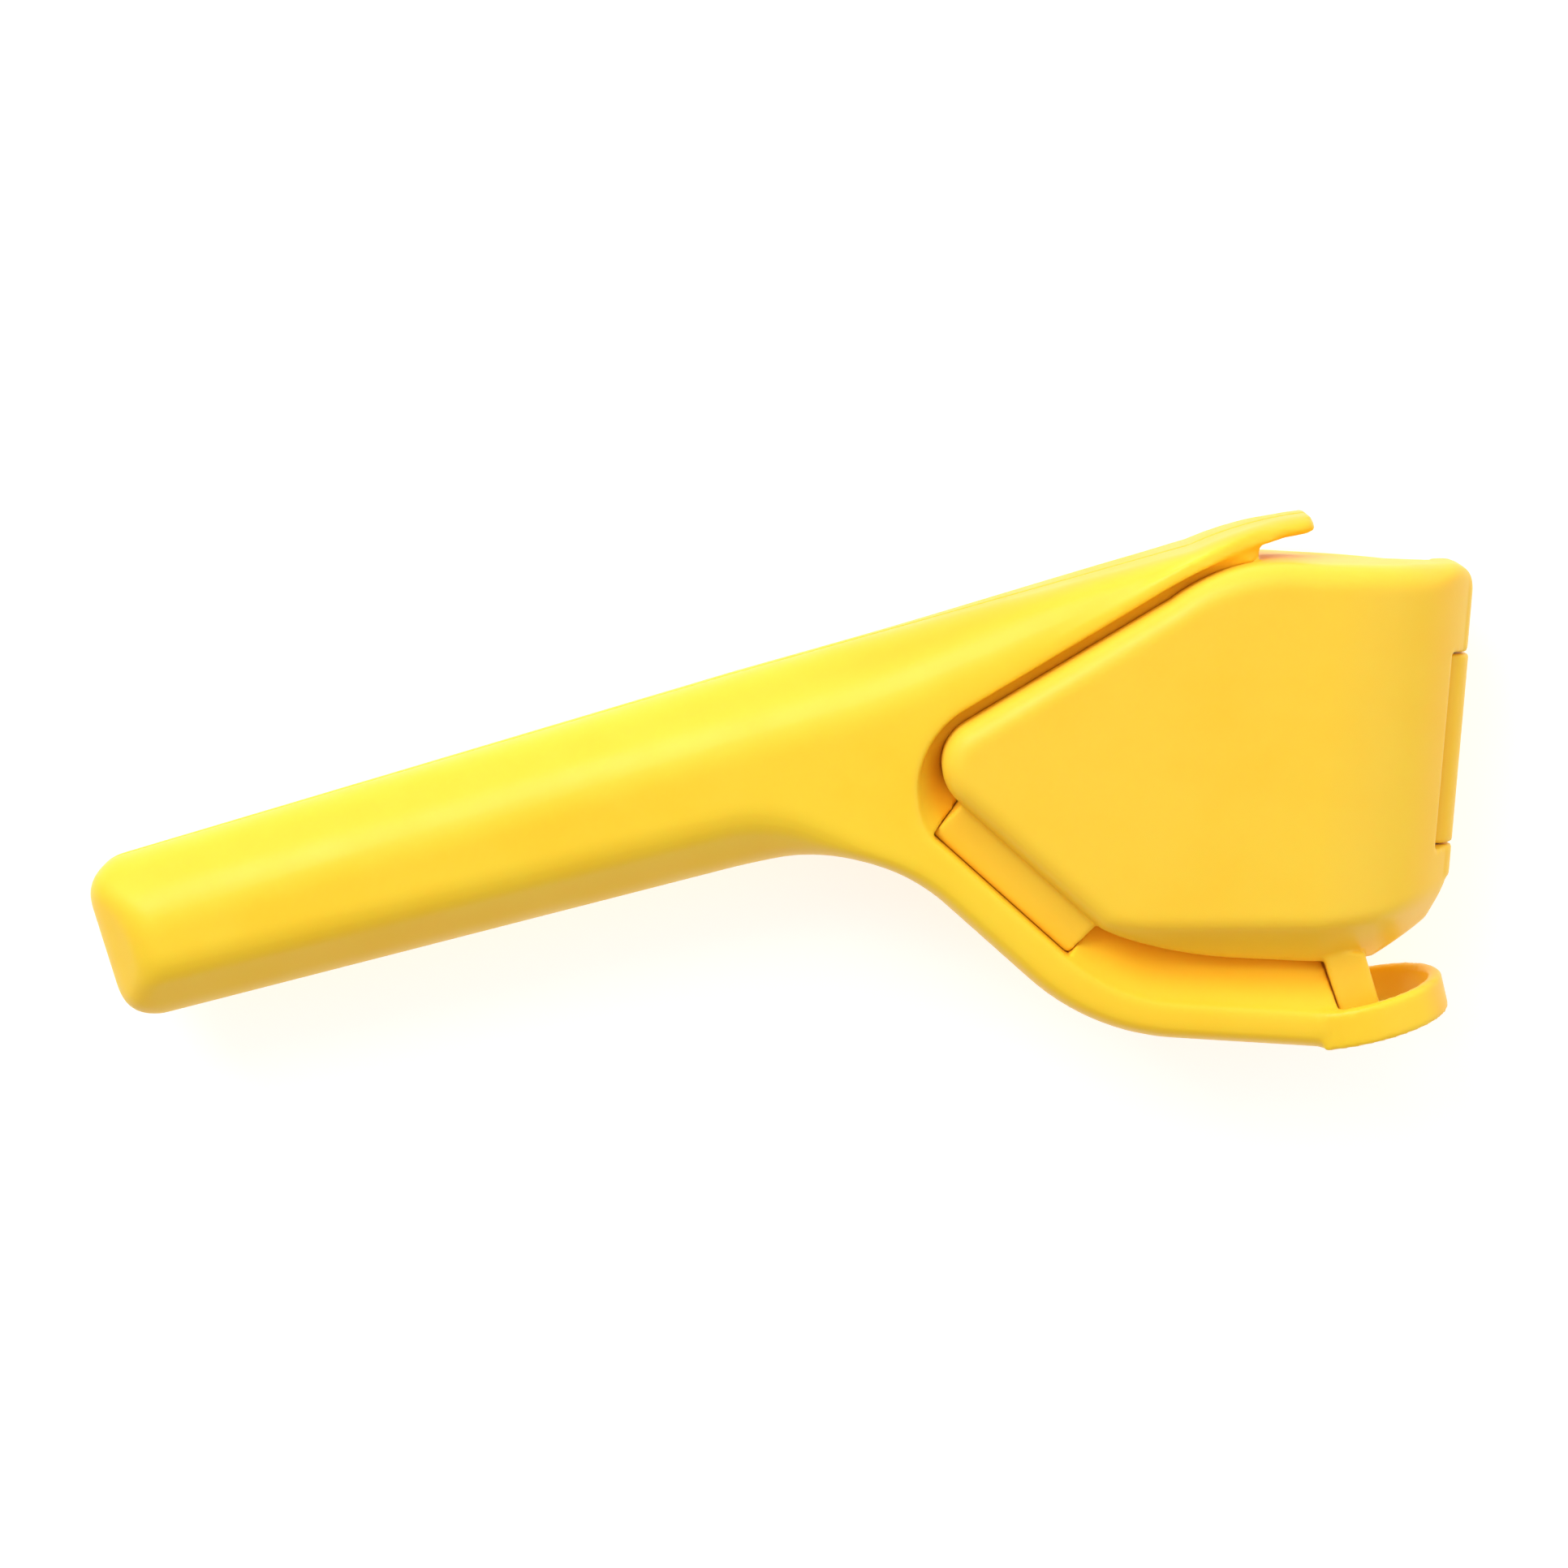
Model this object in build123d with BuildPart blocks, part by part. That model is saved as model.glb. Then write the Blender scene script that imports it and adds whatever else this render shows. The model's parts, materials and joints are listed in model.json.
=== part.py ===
from build123d import *
import os
from math import acos, cos, hypot, radians, sin, tan

# Hinged citrus squeezer, millimetres. Two mirrored halves meet on the plane z = 0 and swing about
# a hinge line along Y. The drawing origin is the hinge line; the pieces are shifted at the end so
# that the frame's origin is the bottom centre of the box round the closed squeezer.

# ---------------------------------------------------------------- driving dimensions
# fits
joint_gap = 0.4            # between the closed halves
seam_gap = 0.3             # between pieces of one half that only face each other
run_clearance = 0.05       # radial, hinge pin in the rear knuckle
swing_clearance = 0.3      # round a knuckle, and between the two halves' knuckles

# press plates
plate_depth = 17.5         # plate face from the closing plane
plate_wall = 2.4
plate_top = 28.2
plate_bottom = -38.9
rear_top_drop = 1.6        # the rear plate ends lower than the front one
hinge_corner = 5.0         # round of the plan where the top edge meets the hinge side
shoulder_x, shoulder_y = -46.6, 20.0     # where the top edge turns down to the nose
shoulder_run = 20.1                      # length in x of the rounded shoulder
nose_x, nose_y = -81.9, -9.0             # furthest point of the rounded nose
nose_top_x, nose_top_y = -78.2, -1.9
nose_foot_x, nose_foot_y = -78.6, -15.0  # the straight diagonal edge starts here
diagonal_angle = -38.5
diagonal_length = 31.3
heel_run = 25.0                          # length in x of the curve after the diagonal
toe_x = -17.5                            # the bottom edge turns up to the hinge here
toe_mid_x, toe_mid_rise = -8.0, 0.8
toe_end_x, toe_rise = 1.1, 7.0
heel_rise = 0.9            # lift of the heel's middle above the bottom edge
top_slope = 0.7            # drop of the top edge where the shoulder starts
shoulder_drop = 2.3        # drop of the shoulder's middle below the top edge
small_round = 0.3
face_flat_x = -21.0        # the face is flat up to here, then curves back to the hinge
top_round = 4.0
bottom_bevel = 6.5
dish_radius = 44.0         # hollow pressed into the ribs, holds the cut fruit
dish_depth = 9.5
dish_x, dish_y = -38.0, -4.0
rib_thickness = 2.0
rib_pitch = 7.5
rib_count = 7
rib_first_x = -66.0
rib_back_gap = 1.6         # rib edges from the closing plane, outside the dish
drain_width = 7.5          # notch in the bottom wall that lets the juice out above the ring
drain_x = -6.8
drain_height = 5.0
drain_reach = 8.0

# main hinge
knuckle_radius = 4.2
pin_radius = 2.0
middle_knuckle_top = 13.3
middle_knuckle_bottom = -19.0
lower_knuckle_bottom = -24.5
pin_cap = 2.6              # closed end of the upper knuckle
skin_edge_x = 0.5          # the plate's skin laps the other half's knuckle up to here

# lug that ties each plate to its handle
lug_length = 30.0
lug_width = 6.9
lug_height_near = 12.9     # beside the plate
lug_height_far = 10.8      # beside the frame
lug_round = 1.2
lug_root = 1.2             # the lug reaches this far into the plate
lug_pin_radius = 1.25
lug_pin_offset = 4.4       # from the plate's diagonal edge
lug_pin_height = 5.0
lug_pin_grip = 4.0         # length of pin in the frame at each end

# handles
grip_angle = 19.2
grip_length = 113.6
grip_height_end = 27.7
grip_height_neck = 31.2
grip_depth = 12.8          # front of the grip from the closing plane
facet_top = 8.3
facet_bottom = 8.6
facet_end = 8.0
facet_angle = 45.0
facet_fade = 25.6          # the facets shrink over this length, up to the neck
neck_axis_x, neck_axis_y = -112.0, -12.7   # the grip's centre line reaches the frame here
grip_corner_round = 7.0
handle_wall = 2.2
handle_rib_pitch = 19.0
handle_rib_count = 5

# frame round the plate
frame_depth = 14.0
frame_edge = 3.0           # softened outer edges of the frame
window_gap = 2.2           # frame to plate along the top and the nose
ledge_gap = 7.4            # frame edge to the plate along the diagonal
band_height = 6.4          # lower band, beside the plate's bottom edge
diagonal_band_height = 7.2     # and beside its diagonal edge
ledge_drop = 7.6           # front edge of the lower band below the plate
ledge_foot_gap = 0.4       # the window's sloped wall comes this close to the plate
ledge_foot = 6.0           # and keeps that distance up to this height
ledge_root = 1.0           # and starts this far inside the frame
ledge_lip = 0.04           # share of its slope that it already has at the front
ledge_start = 0.7          # place along the prong's underside where the sloped wall begins
neck_radius = 30.0
heel_radius = 39.0
prong_tip_x, prong_tip_y = -23.4, 34.6
prong_thickness = 3.0
prong_point = 1.6          # length of the slanted end of the prong
prong_bend = 1.3           # rise of the prong's hollow underside
frame_round = 1.2          # round on the frame's front edges
nose_gap = 3.6             # frame to the plate's nose
nose_back_drop = 2.0       # the window's furthest point lies lower than the nose
neck_lap = 2.0             # the frame reaches back into the grip along its top edge
neck_low_lap = 6.0         # and along its bottom edge
pocket_share = 0.55        # the neck's hollow runs this far up the arm
pocket_lap = 3.0           # and this far back into the grip
sharp_reach = 8.6          # the frame's edges this near to the plate stay sharp
arm_run, arm_rise = 4.6, 6.2               # from the window's corner to the arm's bend
bend_run, bend_rise = 9.0, 4.0             # from there to the middle of the bend
tab_share_left, tab_share_right = 0.66, 0.38   # places along the prong's underside
tab_near, tab_depth = 3.0, 6.0

# spout ring at the end of the front handle's lower band
ring_wall = 2.3
ring_tilt = 17.5           # the ring climbs towards the hinge
ring_height = 6.4
ring_back_depth = 11.0     # the ring's back from the closing plane
ring_left_x = -15.6
ring_corner_run = 1.2      # straight length before the ring's round part
ring_length = 22.4
ring_back_z = 5.5
ring_lap = 0.4             # the band reaches this far into the ring
rear_band_end_x = -22.5
leg_tilt = 21.0
leg_top_x, leg_top_y = -16.0, -39.9        # on the leg's left side
leg_width = 6.7
leg_near, leg_far = 5.5, 10.5  # the leg's faces, from the closing plane
leg_reach = 1.0                # how far the leg enters the ring

# ---------------------------------------------------------------- derived places
half_gap = joint_gap / 2
diagonal = (cos(radians(diagonal_angle)), sin(radians(diagonal_angle)))
outward = (diagonal[1], -diagonal[0])
grip_axis = (cos(radians(grip_angle)), sin(radians(grip_angle)))
grip_up = (-grip_axis[1], grip_axis[0])


def along_diagonal(run, off):
    """Point at a run along the plate's diagonal edge and an offset outward from it."""
    return (nose_foot_x + run * diagonal[0] + off * outward[0],
            nose_foot_y + run * diagonal[1] + off * outward[1])


def along_grip(run, up):
    """Point at a run from the grip's end and a height above its centre line."""
    back = run - grip_length
    return (neck_axis_x + back * grip_axis[0] + up * grip_up[0],
            neck_axis_y + back * grip_axis[1] + up * grip_up[1])


def crossing(first, second, third, fourth):
    """Point where the line through two points meets the line through two others."""
    along = (second[0] - first[0], second[1] - first[1])
    other = (fourth[0] - third[0], fourth[1] - third[1])
    share = ((third[0] - first[0]) * other[1] - (third[1] - first[1]) * other[0]) / (
        along[0] * other[1] - along[1] * other[0])
    return (first[0] + share * along[0], first[1] + share * along[1])


def rounded_corner(before, corner, after, radius):
    """Start, middle and end of the arc of a radius that touches both lines at a corner."""
    back, ahead = Vector(*before) - Vector(*corner), Vector(*after) - Vector(*corner)
    back, ahead = back.normalized(), ahead.normalized()
    half = acos(back.dot(ahead)) / 2
    middle = Vector(*corner) + (back + ahead).normalized() * (radius / sin(half) - radius)
    reach = radius / tan(half)
    return [(point.X, point.Y) for point in
            (Vector(*corner) + back * reach, middle, Vector(*corner) + ahead * reach)]


shoulder_arc = ((shoulder_x + shoulder_run, plate_top - top_slope),
                (shoulder_x + shoulder_run / 2, plate_top - shoulder_drop), (shoulder_x, shoulder_y))
heel_start = along_diagonal(diagonal_length, 0)
heel_end = (heel_start[0] + heel_run, plate_bottom)
plate_right = knuckle_radius
margin = 5.0               # overshoot of cutting and crossing solids
across = grip_length + plate_top     # longer than any section
band_bottom = plate_bottom - ledge_drop - band_height
band_top = band_bottom + band_height
arm_length = hypot(shoulder_x - nose_top_x, shoulder_y - nose_top_y)
arm_normal = (-(shoulder_y - nose_top_y) / arm_length, (shoulder_x - nose_top_x) / arm_length)
skin_sag = plate_depth - half_gap
skin_run = plate_right - face_flat_x
skin_radius = (skin_run ** 2 + skin_sag ** 2) / (2 * skin_sag)
pin_top = plate_top - pin_cap
leg_lean = tan(radians(leg_tilt))
leg_across = leg_width / cos(radians(leg_tilt))
leg_top, leg_foot = plate_bottom + plate_wall, band_top - leg_reach
lug_start = (diagonal_length - lug_length) / 2

# corner points of the frame's window, from the plate's own outline
window_start = (shoulder_x + window_gap * arm_normal[0], shoulder_y + window_gap * arm_normal[1])
window_nose = (nose_top_x + window_gap * arm_normal[0], nose_top_y + window_gap * arm_normal[1])
window_back = (nose_x - nose_gap, nose_y - nose_back_drop)
window_foot = along_diagonal(0, ledge_gap)
window_heel = crossing(window_foot, along_diagonal(diagonal_length, ledge_gap), (0, band_top), (1, band_top))
window_turn = rounded_corner(window_foot, window_heel, (0, band_top), heel_radius - diagonal_band_height)

# the frame's outer edge below: grip, neck, diagonal band, lower band
grip_low = along_grip(0, -grip_height_end / 2)
band_start = along_diagonal(0, ledge_gap + diagonal_band_height)
band_ahead = along_diagonal(diagonal_length, ledge_gap + diagonal_band_height)
neck_corner = crossing(grip_low, along_grip(grip_length, -grip_height_neck / 2), band_start, band_ahead)
heel_corner = crossing(band_start, band_ahead, (0, band_bottom), (1, band_bottom))
neck_turn = rounded_corner(grip_low, neck_corner, heel_corner, neck_radius)
heel_turn = rounded_corner(neck_corner, heel_corner, (0, band_bottom), heel_radius)

# the arm and the prong above the plate
tip_low = (prong_tip_x - prong_point, prong_tip_y - prong_thickness)
under_prong = ((tip_low[0] + window_start[0]) / 2, (tip_low[1] + window_start[1]) / 2 + prong_bend)
arm_end = (window_start[0] + arm_run, window_start[1] + arm_rise)
prong_under = ThreePointArc(tip_low, under_prong, window_start)
tab_top_right, tab_top_left = [((prong_under @ share).X, (prong_under @ share).Y - seam_gap)
                               for share in (tab_share_right, tab_share_left)]


def skin_height(x, inset=0.0):
    """Height of the plate's curved skin at x, for a skin moved inward by inset."""
    return plate_depth - skin_radius + ((skin_radius - inset) ** 2 - (x - face_flat_x) ** 2) ** 0.5


def plate_outline(height, inset=0.0):
    """Plan of a press plate: top, shoulder, nose, diagonal, heel, toe and hinge side."""
    top_end, shoulder = shoulder_arc[0], shoulder_arc[2]
    nose_top = (nose_top_x, nose_top_y)
    nose_foot = (nose_foot_x, nose_foot_y)
    corner = rounded_corner((plate_right, 0), (plate_right, plate_top), top_end, hinge_corner)
    with BuildSketch(Plane.XY.offset(height)) as plan:
        with BuildLine():
            ThreePointArc(*shoulder_arc)
            Line(shoulder, nose_top)
            ThreePointArc(nose_top, (nose_x, nose_y), nose_foot)
            Line(nose_foot, heel_start)
            ThreePointArc(heel_start, (heel_start[0] + heel_run / 2, plate_bottom + heel_rise), heel_end)
            Polyline(heel_end, (toe_x, plate_bottom), (toe_mid_x, plate_bottom + toe_mid_rise),
                     (toe_end_x, plate_bottom + toe_rise), (plate_right, lower_knuckle_bottom),
                     corner[0])
            ThreePointArc(*corner)
            Line(corner[2], top_end)
        make_face()
        if inset:
            offset(amount=-inset, kind=Kind.INTERSECTION)
    return plan.sketch


def face_profile(side, inset=0.0, right=knuckle_radius):
    """Section across the hinge line: a flat face, then one arc back to the knuckles."""
    far, flat = nose_x - margin, plate_depth - inset
    middle = (face_flat_x + right) / 2
    edge = side * max(skin_height(right, inset), 0)
    with BuildSketch(Plane.XZ.offset(-plate_top - margin)) as section:
        with BuildLine():
            Polyline((right, edge), (right, -side), (far, -side), (far, side * flat),
                     (face_flat_x, side * flat))
            ThreePointArc((face_flat_x, side * flat), (middle, side * skin_height(middle, inset)),
                          (right, edge))
        make_face()
    return section.sketch


def edge_profile(side, inset=0.0):
    """Section along the hinge line: rounded top edge, long bevel on the bottom edge."""
    drop = inset if side > 0 else inset + rear_top_drop
    flat, top, bottom = plate_depth - inset, plate_top - drop, plate_bottom + inset
    round_top = top_round - inset
    bend = round_top * (1 - cos(radians(45)))
    with BuildSketch(Plane.YZ.offset(nose_x - margin)) as section:
        with BuildLine():
            Polyline((top, side * (flat - round_top)), (top, -side), (bottom, -side),
                     (bottom, side * (flat - bottom_bevel)), (bottom + bottom_bevel, side * flat),
                     (top - round_top, side * flat))
            ThreePointArc((top - round_top, side * flat), (top - bend, side * (flat - bend)),
                          (top, side * (flat - round_top)))
        make_face()
    return section.sketch


def plate_solid(side, base, inset=0.0, right=knuckle_radius):
    """Three crossing extrusions kept where they overlap: plan, face arc and edge section."""
    with BuildPart() as solid:
        extrude(plate_outline(side * base, inset), amount=side * (plate_depth - inset - base))
        extrude(face_profile(side, inset, right), amount=across, mode=Mode.INTERSECT)
        extrude(edge_profile(side, inset), amount=across, mode=Mode.INTERSECT)
    return solid.part


def plate_ribs(side, space):
    """Upright ribs inside a plate, dished in the middle to hold the fruit."""
    with BuildPart() as ribs:
        with BuildSketch(Plane.XY.offset(side * (half_gap + rib_back_gap))):
            with Locations((rib_first_x + (rib_count - 1) * rib_pitch / 2, dish_y)):
                with GridLocations(rib_pitch, 1, rib_count, 1):
                    Rectangle(rib_thickness, across)
        extrude(amount=side * plate_depth)
        add(space, mode=Mode.INTERSECT)
        with Locations((dish_x, dish_y, -side * (dish_radius - dish_depth))):
            Sphere(dish_radius, mode=Mode.SUBTRACT)
    return ribs.part


def hinge_disc(radius, height):
    """Circle on the hinge line, ready to be extruded downward."""
    with BuildSketch(Plane.XZ.offset(-height)) as disc:
        Circle(radius)
    return disc.sketch


def knuckle_room(bottom, top):
    """Room for the other half's knuckle, open on the side where that knuckle shows."""
    with BuildSketch(Plane.XZ.offset(-top - swing_clearance)) as room:
        Circle(knuckle_radius + swing_clearance)
        with Locations((skin_edge_x + across / 2, 0)):
            Rectangle(across, across)
    with BuildPart() as gap:
        extrude(room.sketch, amount=top - bottom + 2 * swing_clearance)
    return gap.part


def lug_plane(run):
    """Plane across the diagonal: x points outward to the frame, y to the back."""
    x, y = along_diagonal(run, 0)
    return Plane(origin=(x, y, 0), x_dir=(*outward, 0), z_dir=(*diagonal, 0))


def lug_block(side):
    """Lug along the diagonal edge, sloping down a little towards the frame."""
    inner = -lug_root
    with BuildSketch(lug_plane(lug_start)) as section:
        with BuildLine():
            FilletPolyline((inner, -side * half_gap), (inner, -side * lug_height_near),
                           (lug_width, -side * lug_height_far), (lug_width, -side * half_gap),
                           radius=[small_round, lug_round])
            Line((lug_width, -side * half_gap), (inner, -side * half_gap))
        make_face()
    with BuildPart() as block:
        extrude(section.sketch, amount=lug_length)
    return block.part


def lug_bar(side, radius, grip):
    """Round bar at the lug pin's place, reaching past both ends of the lug."""
    with BuildSketch(lug_plane(lug_start - grip)) as disc:
        with Locations((lug_pin_offset, -side * lug_pin_height)):
            Circle(radius)
    with BuildPart() as bar:
        extrude(disc.sketch, amount=lug_length + 2 * grip)
    return bar.part


def grip_section(run, side, share, inset):
    """Half of a six-sided grip section: flat front, a facet above and a facet below."""
    part_way = run / grip_length
    reach = (grip_height_end + (grip_height_neck - grip_height_end) * part_way) / 2 - inset
    front = grip_depth + (frame_depth - grip_depth) * part_way - inset
    above, below = facet_top * share, facet_bottom * share
    base = half_gap if not inset else -half_gap
    x, y = along_grip(run, 0)
    with BuildSketch(Plane(origin=(x, y, 0), x_dir=(*grip_up, 0), z_dir=(*grip_axis, 0))) as section:
        with BuildLine():
            Polyline((-reach, side * base), (-reach, side * (front - below)),
                     (below - reach, side * front), (reach - above, side * front),
                     (reach, side * (front - above)), (reach, side * base), close=True)
        make_face()
    return section.sketch


def end_profile(side, inset):
    """Section along the grip with the facet of its free end, moved inward by inset."""
    lift = inset * tan(radians(facet_angle / 2))
    low = grip_depth - facet_end - lift
    x, y = along_grip(0, -across / 2)
    plane = Plane(origin=(x, y, 0), x_dir=(*grip_axis, 0), z_dir=(*grip_up, 0))
    corners = ((inset, margin), (inset, -low), (inset + grip_depth - low, -grip_depth),
               (inset + across - low, -across), (grip_length + across, -across),
               (grip_length + across, margin))
    with BuildSketch(plane) as section:
        with BuildLine():
            Polyline(*[(run, side * down) for run, down in corners], close=True)
        make_face()
    return section.sketch


def grip_solid(side, inset=0.0):
    """Grip with straight facets that fade over the last stretch to the neck."""
    shares = ((inset, 1.0), (grip_length - facet_fade, 1.0), (grip_length, frame_edge / facet_bottom))
    sections = [grip_section(run, side, share, inset) for run, share in shares]
    with BuildPart() as grip:
        loft(sections[:2], ruled=True)
        loft(sections[1:], ruled=True)
        extrude(end_profile(side, inset), amount=across, mode=Mode.INTERSECT)
    return grip.part


def grip_plan():
    """Plan of the grip with its two end corners rounded, reaching past the neck."""
    low, high = -grip_height_end / 2, grip_height_end / 2
    with BuildSketch(Plane.XY.offset(-across / 2)) as plan:
        with BuildLine():
            FilletPolyline(along_grip(grip_length + margin, low - grip_height_neck),
                           along_grip(0, low), along_grip(0, high),
                           along_grip(grip_length + margin, high + grip_height_neck),
                           radius=grip_corner_round, close=False)
            Line(along_grip(grip_length + margin, low - grip_height_neck),
                 along_grip(grip_length + margin, high + grip_height_neck))
        make_face()
    return plan.sketch


def grip_ribs(hollow):
    """Cross ribs inside the grip."""
    with BuildPart() as ribs:
        for index in range(handle_rib_count):
            x, y = along_grip((index + 1) * handle_rib_pitch, 0)
            with BuildSketch(Plane(origin=(x, y, 0), x_dir=(*grip_up, 0), z_dir=(*grip_axis, 0))):
                Rectangle(across, across)
            extrude(amount=rib_thickness)
        add(hollow, mode=Mode.INTERSECT)
    return ribs.part


def frame_outline(height, band_end):
    """Plan of the C-shaped frame: neck, upper arm, prong, window edge and lower band."""
    neck_top = along_grip(grip_length - neck_lap, grip_height_neck / 2 - small_round)
    neck_low = along_grip(grip_length - neck_low_lap, small_round - grip_height_neck / 2)
    bend = (arm_end[0] + bend_run, arm_end[1] + bend_rise)
    prong_end = (prong_tip_x - prong_point / 2, prong_tip_y)
    with BuildSketch(Plane.XY.offset(height)) as plan:
        with BuildLine():
            Line(neck_top, arm_end)
            ThreePointArc(arm_end, bend, prong_end)
            Polyline(prong_end, (prong_tip_x, prong_tip_y - prong_thickness / 2), tip_low)
            ThreePointArc(tip_low, under_prong, window_start)
            Line(window_start, window_nose)
            ThreePointArc(window_nose, window_back, window_foot)
            Line(window_foot, window_turn[0])
            ThreePointArc(*window_turn)
            Polyline(window_turn[2], (band_end, band_top), (band_end, band_bottom), heel_turn[2])
            ThreePointArc(*heel_turn[::-1])
            Line(heel_turn[0], neck_turn[2])
            ThreePointArc(*neck_turn[::-1])
            Polyline(neck_turn[0], neck_low, neck_top)
        make_face()
    return plan.sketch


def ledge_stations(wall_end):
    """Places along the window: a point on its edge and the plate's point across the gap."""
    nose = ThreePointArc((nose_top_x, nose_top_y), (nose_x, nose_y), (nose_foot_x, nose_foot_y))
    heel_middle = (heel_start[0] + heel_run / 2, plate_bottom + heel_rise)
    heel = ThreePointArc(heel_start, heel_middle, heel_end)
    window_round = ThreePointArc(window_nose, window_back, window_foot)
    window_bend = ThreePointArc(*window_turn)
    shoulder = ThreePointArc(*shoulder_arc)
    under = [ledge_start + (1 - ledge_start) * step / 2 for step in range(3)]
    pairs = [(prong_under @ place, shoulder @ place) for place in under]
    pairs += [(window_round @ (step / 4), nose @ (step / 4)) for step in range(5)]
    pairs += [(window_bend @ (step / 3), heel @ (step / 3)) for step in range(4)]
    return pairs + [(Vector(wall_end, band_top), Vector(wall_end, plate_bottom))]


def ledge_plan(height, share, wall_end):
    """Plan of the window's sloped wall: share 0 lies on the window's edge, 1 beside the plate."""
    inner, root = [], []
    for edge, plate in ledge_stations(wall_end):
        across_gap = (edge - plate).normalized()
        inner.append(edge + (plate + across_gap * ledge_foot_gap - edge) * share)
        root.append(edge + across_gap * ledge_root)
    corners = [(point.X, point.Y) for point in inner + root[::-1]]
    with BuildSketch(Plane.XY.offset(height)) as plan:
        with BuildLine():
            Polyline(*corners, close=True)
        make_face()
    return plan.sketch


def ledge_solid(side, wall_end):
    """Sloped inner wall of the window, cut away where the lug lies."""
    with BuildPart() as ledge:
        foot = ledge_plan(side * ledge_foot, 1, wall_end)
        loft([ledge_plan(side * half_gap, 1, wall_end), foot], ruled=True)
        loft([foot, ledge_plan(side * (frame_depth - small_round), ledge_lip, wall_end)], ruled=True)
        with BuildSketch(lug_plane(lug_start - seam_gap)):
            with Locations((ledge_gap - margin, 0)):
                Rectangle(2 * margin, across)
        extrude(amount=lug_length + 2 * seam_gap, mode=Mode.SUBTRACT)
    return ledge.part


def leg_side(height):
    """Place of the leg's left side at a height along the hinge."""
    return leg_top_x + (leg_top_y - height) * leg_lean


def neck_pocket(side):
    """Hollow behind the neck, between the grip's hollow and the window."""
    lip = window_gap + handle_wall
    half = grip_height_neck / 2 - handle_wall - small_round
    arm_x = nose_top_x + pocket_share * (shoulder_x - nose_top_x)
    arm_y = nose_top_y + pocket_share * (shoulder_y - nose_top_y)
    with BuildSketch() as plan:
        with BuildLine():
            Polyline(along_grip(grip_length - pocket_lap, half),
                     (arm_x + lip * arm_normal[0], arm_y + lip * arm_normal[1]),
                     (nose_top_x + lip * arm_normal[0], nose_top_y + lip * arm_normal[1]),
                     (window_back[0] - handle_wall, window_back[1]),
                     along_grip(grip_length - pocket_lap, -half), close=True)
        make_face()
    with BuildPart() as pocket:
        extrude(plan.sketch, amount=side * (frame_depth - handle_wall))
    return pocket.part


def handle_solid(side, band_end, wall_end):
    """Handle of one half: hollow grip with its cross ribs, and the frame round the plate."""
    with BuildPart() as handle:
        extrude(frame_outline(side * half_gap, band_end), amount=side * (frame_depth - half_gap))
        front = handle.faces().sort_by(Axis.Z)[-1 if side > 0 else 0]
        plate_plan = plate_outline(side * frame_depth)
        outer = front.edges().filter_by(lambda edge: plate_plan.distance_to(edge @ 0.5) > sharp_reach)
        fillet(outer, frame_round)
        add(ledge_solid(side, wall_end))
        add(neck_pocket(side), mode=Mode.SUBTRACT)
    with BuildPart() as hollow:
        add(grip_solid(side, handle_wall))
        extrude(grip_plan(), amount=across, mode=Mode.INTERSECT)
    with BuildPart() as grip:
        add(grip_solid(side))
        extrude(grip_plan(), amount=across, mode=Mode.INTERSECT)
        add(hollow.part, mode=Mode.SUBTRACT)
        add(grip_ribs(hollow.part))
    with BuildPart() as whole:
        add(handle.part)
        add(grip.part)
        with BuildSketch(Plane.XY.offset(side * half_gap)):
            Rectangle(4 * across, 2 * across)
        extrude(amount=-side * across, mode=Mode.SUBTRACT)
        add(lug_bar(side, lug_pin_radius + run_clearance, lug_pin_grip + seam_gap), mode=Mode.SUBTRACT)
    return whole.part


def plate_with_lug(side):
    """Hollow press plate with its ribs, lug and tab, before the hinge is cut."""
    space = plate_solid(side, -half_gap, plate_wall, -knuckle_radius - plate_wall)
    with BuildPart() as plate:
        add(plate_solid(side, half_gap))
        add(lug_block(side))
        with BuildSketch(Plane.XY.offset(side * tab_near)):
            with BuildLine():
                Polyline((tab_top_left[0], shoulder_y), tab_top_left, tab_top_right,
                         (tab_top_right[0], shoulder_y), close=True)
            make_face()
        extrude(amount=side * tab_depth)
        add(space, mode=Mode.SUBTRACT)
        add(plate_ribs(side, space))
        add(lug_bar(side, lug_pin_radius + run_clearance, lug_pin_grip + seam_gap), mode=Mode.SUBTRACT)
        with BuildSketch(Plane.XY):
            with Locations((drain_x - drain_width / 2, plate_bottom)):
                Rectangle(drain_width, 2 * drain_reach)
        extrude(amount=side * drain_height, mode=Mode.SUBTRACT)
    return plate.part


# ---------------------------------------------------------------- the two handles
ring_turn = (cos(radians(ring_tilt)), sin(radians(ring_tilt)))
ring_top = (ring_left_x - ring_height * ring_turn[1], band_bottom + ring_height * ring_turn[0], 0)
with BuildPart() as ring:
    with BuildSketch(Plane(origin=ring_top, x_dir=(*ring_turn, 0), z_dir=(ring_turn[1], -ring_turn[0], 0))):
        with BuildLine():
            Polyline((ring_corner_run, frame_depth), (0, frame_depth), (0, -ring_back_z),
                     (ring_corner_run, -ring_back_depth))
            ThreePointArc((ring_corner_run, -ring_back_depth),
                          (ring_length, (frame_depth - ring_back_depth) / 2),
                          (ring_corner_run, frame_depth))
        make_face()
        offset(amount=-ring_wall, kind=Kind.INTERSECTION, mode=Mode.SUBTRACT)
    extrude(amount=ring_height)

room_floor = leg_foot - seam_gap
with BuildPart() as leg_room:
    with BuildSketch(Plane.XY.offset(leg_near - seam_gap)):
        with BuildLine():
            Polyline((leg_side(plate_bottom) - seam_gap, plate_bottom),
                     (leg_side(room_floor) - seam_gap, room_floor),
                     (0, room_floor), (0, plate_bottom), close=True)
        make_face()
    extrude(amount=across)

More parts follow.
